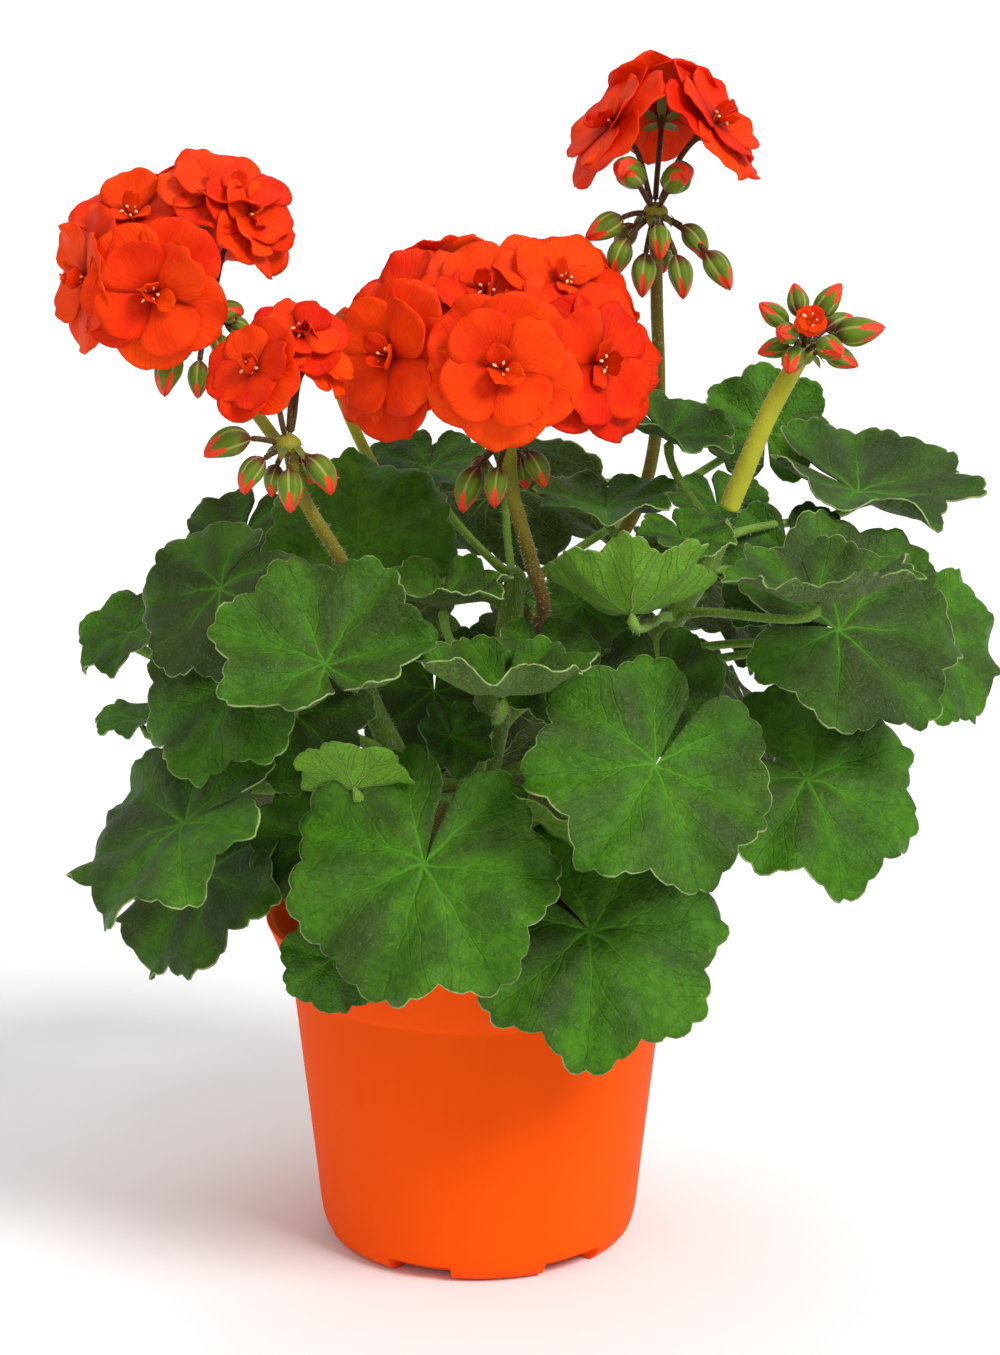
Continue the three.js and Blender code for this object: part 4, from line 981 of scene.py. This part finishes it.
for umbel_name, umbel in UMBELS.items():
    stalk_mesh = new_mesh()
    stalk_path = smooth_path(umbel["stalk"], STALK_POINTS)
    foot_tone, top_tone = STALK_TONES[umbel_name]
    last = STALK_POINTS - 2
    taper = [umbel["radius"] * (1.05 - 0.1 * i / last) for i in range(1, last + 1)]
    radii = [0.0, *taper, 0.0]
    add_rod(stalk_mesh, stalk_path, radii, sides=12, tone=foot_tone)
    luck = random.Random(len(umbel_name) + len(umbel["buds"]))
    shade = stalk_mesh.verts.layers.float["tone"]
    edge_mark = stalk_mesh.verts.layers.float["edge"]
    for point in stalk_mesh.verts:
        point[shade] = foot_tone + (top_tone - foot_tone) * point[edge_mark] ** 3
    add_down(stalk_mesh, stalk_path, radii, 380, 1.5, luck, DOWN_ON_STALK)
    knob = Vector(umbel["stalk"][-1])
    knob_path = [knob + Vector((0, 0, 0.9 * step - 4.4)) for step in range(len(KNOB_RADII))]
    add_rod(stalk_mesh, knob_path, KNOB_RADII, 14, 0.5, ribs=0.08, rib_count=7)
    for bract in range(BRACTS):
        turn = radians(60 * bract + 15)
        outward = Vector((cos(turn), sin(turn), 0))
        across = Vector((-sin(turn), cos(turn), 0))

        def bract_point(u, v):
            width = 1.5 * sin(pi * min(1, 0.2 + 0.8 * v)) ** 0.8
            drop = Vector((0, 0, -0.8 - 3.4 * v * v))
            return knob + drop + outward * (3.2 + 3.6 * v) + across * (2 * u - 1) * width

        add_sheet(stalk_mesh, 4, 5, bract_point, 0.45, material=SEPAL)
    for bud in umbel["buds"]:
        add_bud(stalk_mesh, bud, knob, luck)
    for floret in umbel["florets"]:
        add_calyx(stalk_mesh, floret, knob)
    stalk_finishes = [stalk_skin, bud_skin, sepal_skin, stamen_skin, down]
    stalk = finished_piece("stalk_" + umbel_name, stalk_mesh, stalk_finishes)
    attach(stalk, "root")
    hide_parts("flower_stalk_" + umbel_name)

# The petals: soft red sheets on narrow claws. Each floret is partly double, with five broad petals,
# four shorter ones over them and three small curled ones round the throat, where the anthers stand.
PETAL_THICKNESS = 0.00035
# Each ring of petals is (how many, first turn, length, width, rise at the hub, bend to the tip).
# Lengths and widths are shares of the floret's size.
PETAL_RINGS = (
    (5, 0, 1.0, 1.1, (-2, 9), (-26, -4)),
    (4, 32, 0.8, 0.86, (10, 22), (-30, 12)),
    (3, 75, 0.4, 0.3, (40, 66), (-50, 70)),
)


def add_petal(mesh, hub, out, outward, length, width, rise, bend, luck, tone):
    """One petal: a round-tipped sheet on a narrow claw, bent along its length and ruffled."""
    across = out.cross(outward)
    rise, bend = radians(rise), radians(bend)
    phase, second = luck.uniform(0, 6), luck.uniform(0, 6)
    ruffle = luck.uniform(0.6, 1.3)
    cup = luck.uniform(-0.05, 0.12)
    drift = Vector((luck.uniform(0, 90), luck.uniform(0, 90), 0))

    def petal_point(u, v):
        left, top = 2 * u - 1, 2 * v - 1
        across_share = left * sqrt(1 - top * top / 2)
        up = (top * sqrt(1 - left * left / 2) + 1) / 2
        narrow = 0.2 + 0.8 * sin(min(1, up / 0.66) * pi / 2)
        notch = 1 - 0.05 * exp(-(across_share / 0.12) ** 2) * up ** 4
        turn = rise + bend * up
        if abs(bend) > 0.01:
            forward = (sin(turn) - sin(rise)) / bend
            lift = (cos(rise) - cos(turn)) / bend
        else:
            forward, lift = up * cos(rise), up * sin(rise)
        skin = out * cos(turn) - outward * sin(turn)
        wave = 0.06 * ruffle * up ** 2 * sin(4.2 * across_share + phase)
        wave += 0.03 * ruffle * up ** 3 * sin(9 * across_share + 5 * up + second)
        crinkle = noise.noise(drift + Vector((across_share, up, 0)) * 2.4)
        wave += cup * across_share ** 2 * up + 0.04 * crinkle * up
        centre = Vector(hub) + (outward * forward + out * lift) * length * notch
        return centre - across * across_share * width * narrow / 2 + skin * wave * length

    add_sheet(mesh, 9, 9, petal_point, tone)


def add_floret(mesh, floret, number):
    """The petals of one floret, each with its own small differences."""
    hub, face, tilt, spin, size = floret
    out, along, side = facing(face, tilt, spin)
    luck = random.Random(number)
    base = luck.uniform(0.35, 0.65)
    for ring, (count, first, length, width, rises, bends) in enumerate(PETAL_RINGS):
        for petal in range(count):
            turn = radians(first + 360 * petal / count + luck.uniform(-8, 8))
            outward = along * cos(turn) + side * sin(turn)
            start = Vector(hub) + out * (0.15 * ring + 0.08 * petal)
            petal_length = size * length * luck.uniform(0.93, 1.03)
            petal_width = size * width * luck.uniform(0.92, 1.04)
            rise, bend = luck.uniform(*rises), luck.uniform(*bends)
            tone = base + luck.uniform(-0.2, 0.2)
            add_petal(mesh, start, out, outward, petal_length, petal_width, rise, bend, luck, tone)


petal_skin = Finish("geranium_petal", {"Specular IOR Level": 0.07})
petal_side, petal_up = petal_skin.flat().parts()
petal_tone = petal_skin.mark("tone")
petal_cloud = petal_skin.grain(petal_skin.place(), 90, 3)
fan = (petal_side - 0.5) / (petal_up * 0.75 + 0.3)
fan_parts = {0: fan * 17, 1: petal_up * 1.3, 2: petal_tone * 40}
fan_place = petal_skin.node("ShaderNodeCombineXYZ", {}, fan_parts)
petal_veins = petal_skin.grain(fan_place, 1.6, 3, 0.6)
brightness = (petal_tone + petal_cloud * 0.8 - 0.4).rise(0, 1)
dark_veins = petal_veins.rise(0.5, 0.7)
# Painted shade: each petal is darkened towards its base, where shade falls deep in the floret's
# throat.
throat_shade = 1 - petal_up.rise(0.05, 0.4)
petal_colour = petal_skin.blend(brightness, (0.66, 0.009, 0.001), (1.0, 0.07, 0.002))
petal_colour = petal_skin.blend(dark_veins * 0.25, petal_colour, (0.55, 0.006, 0.001))
petal_colour = petal_skin.blend(throat_shade * 0.7, petal_colour, (0.34, 0.003, 0.003))
petal_skin.give("Base Color", petal_colour)
petal_skin.give("Roughness", petal_cloud * 0.2 + 0.42)
petal_skin.relief(petal_veins + petal_cloud * 0.5, 0.0004)

for umbel_number, (umbel_name, umbel) in enumerate(UMBELS.items()):
    if not umbel["florets"]:
        continue
    petal_mesh = new_mesh()
    for number, floret in enumerate(umbel["florets"]):
        add_floret(petal_mesh, floret, 1000 + 50 * umbel_number + number)
    petals = finished_piece("petals_of_" + umbel_name, petal_mesh, [petal_skin])
    thicken(petals, PETAL_THICKNESS, 0)
    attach(petals, "root")
    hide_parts("petals_" + umbel_name)
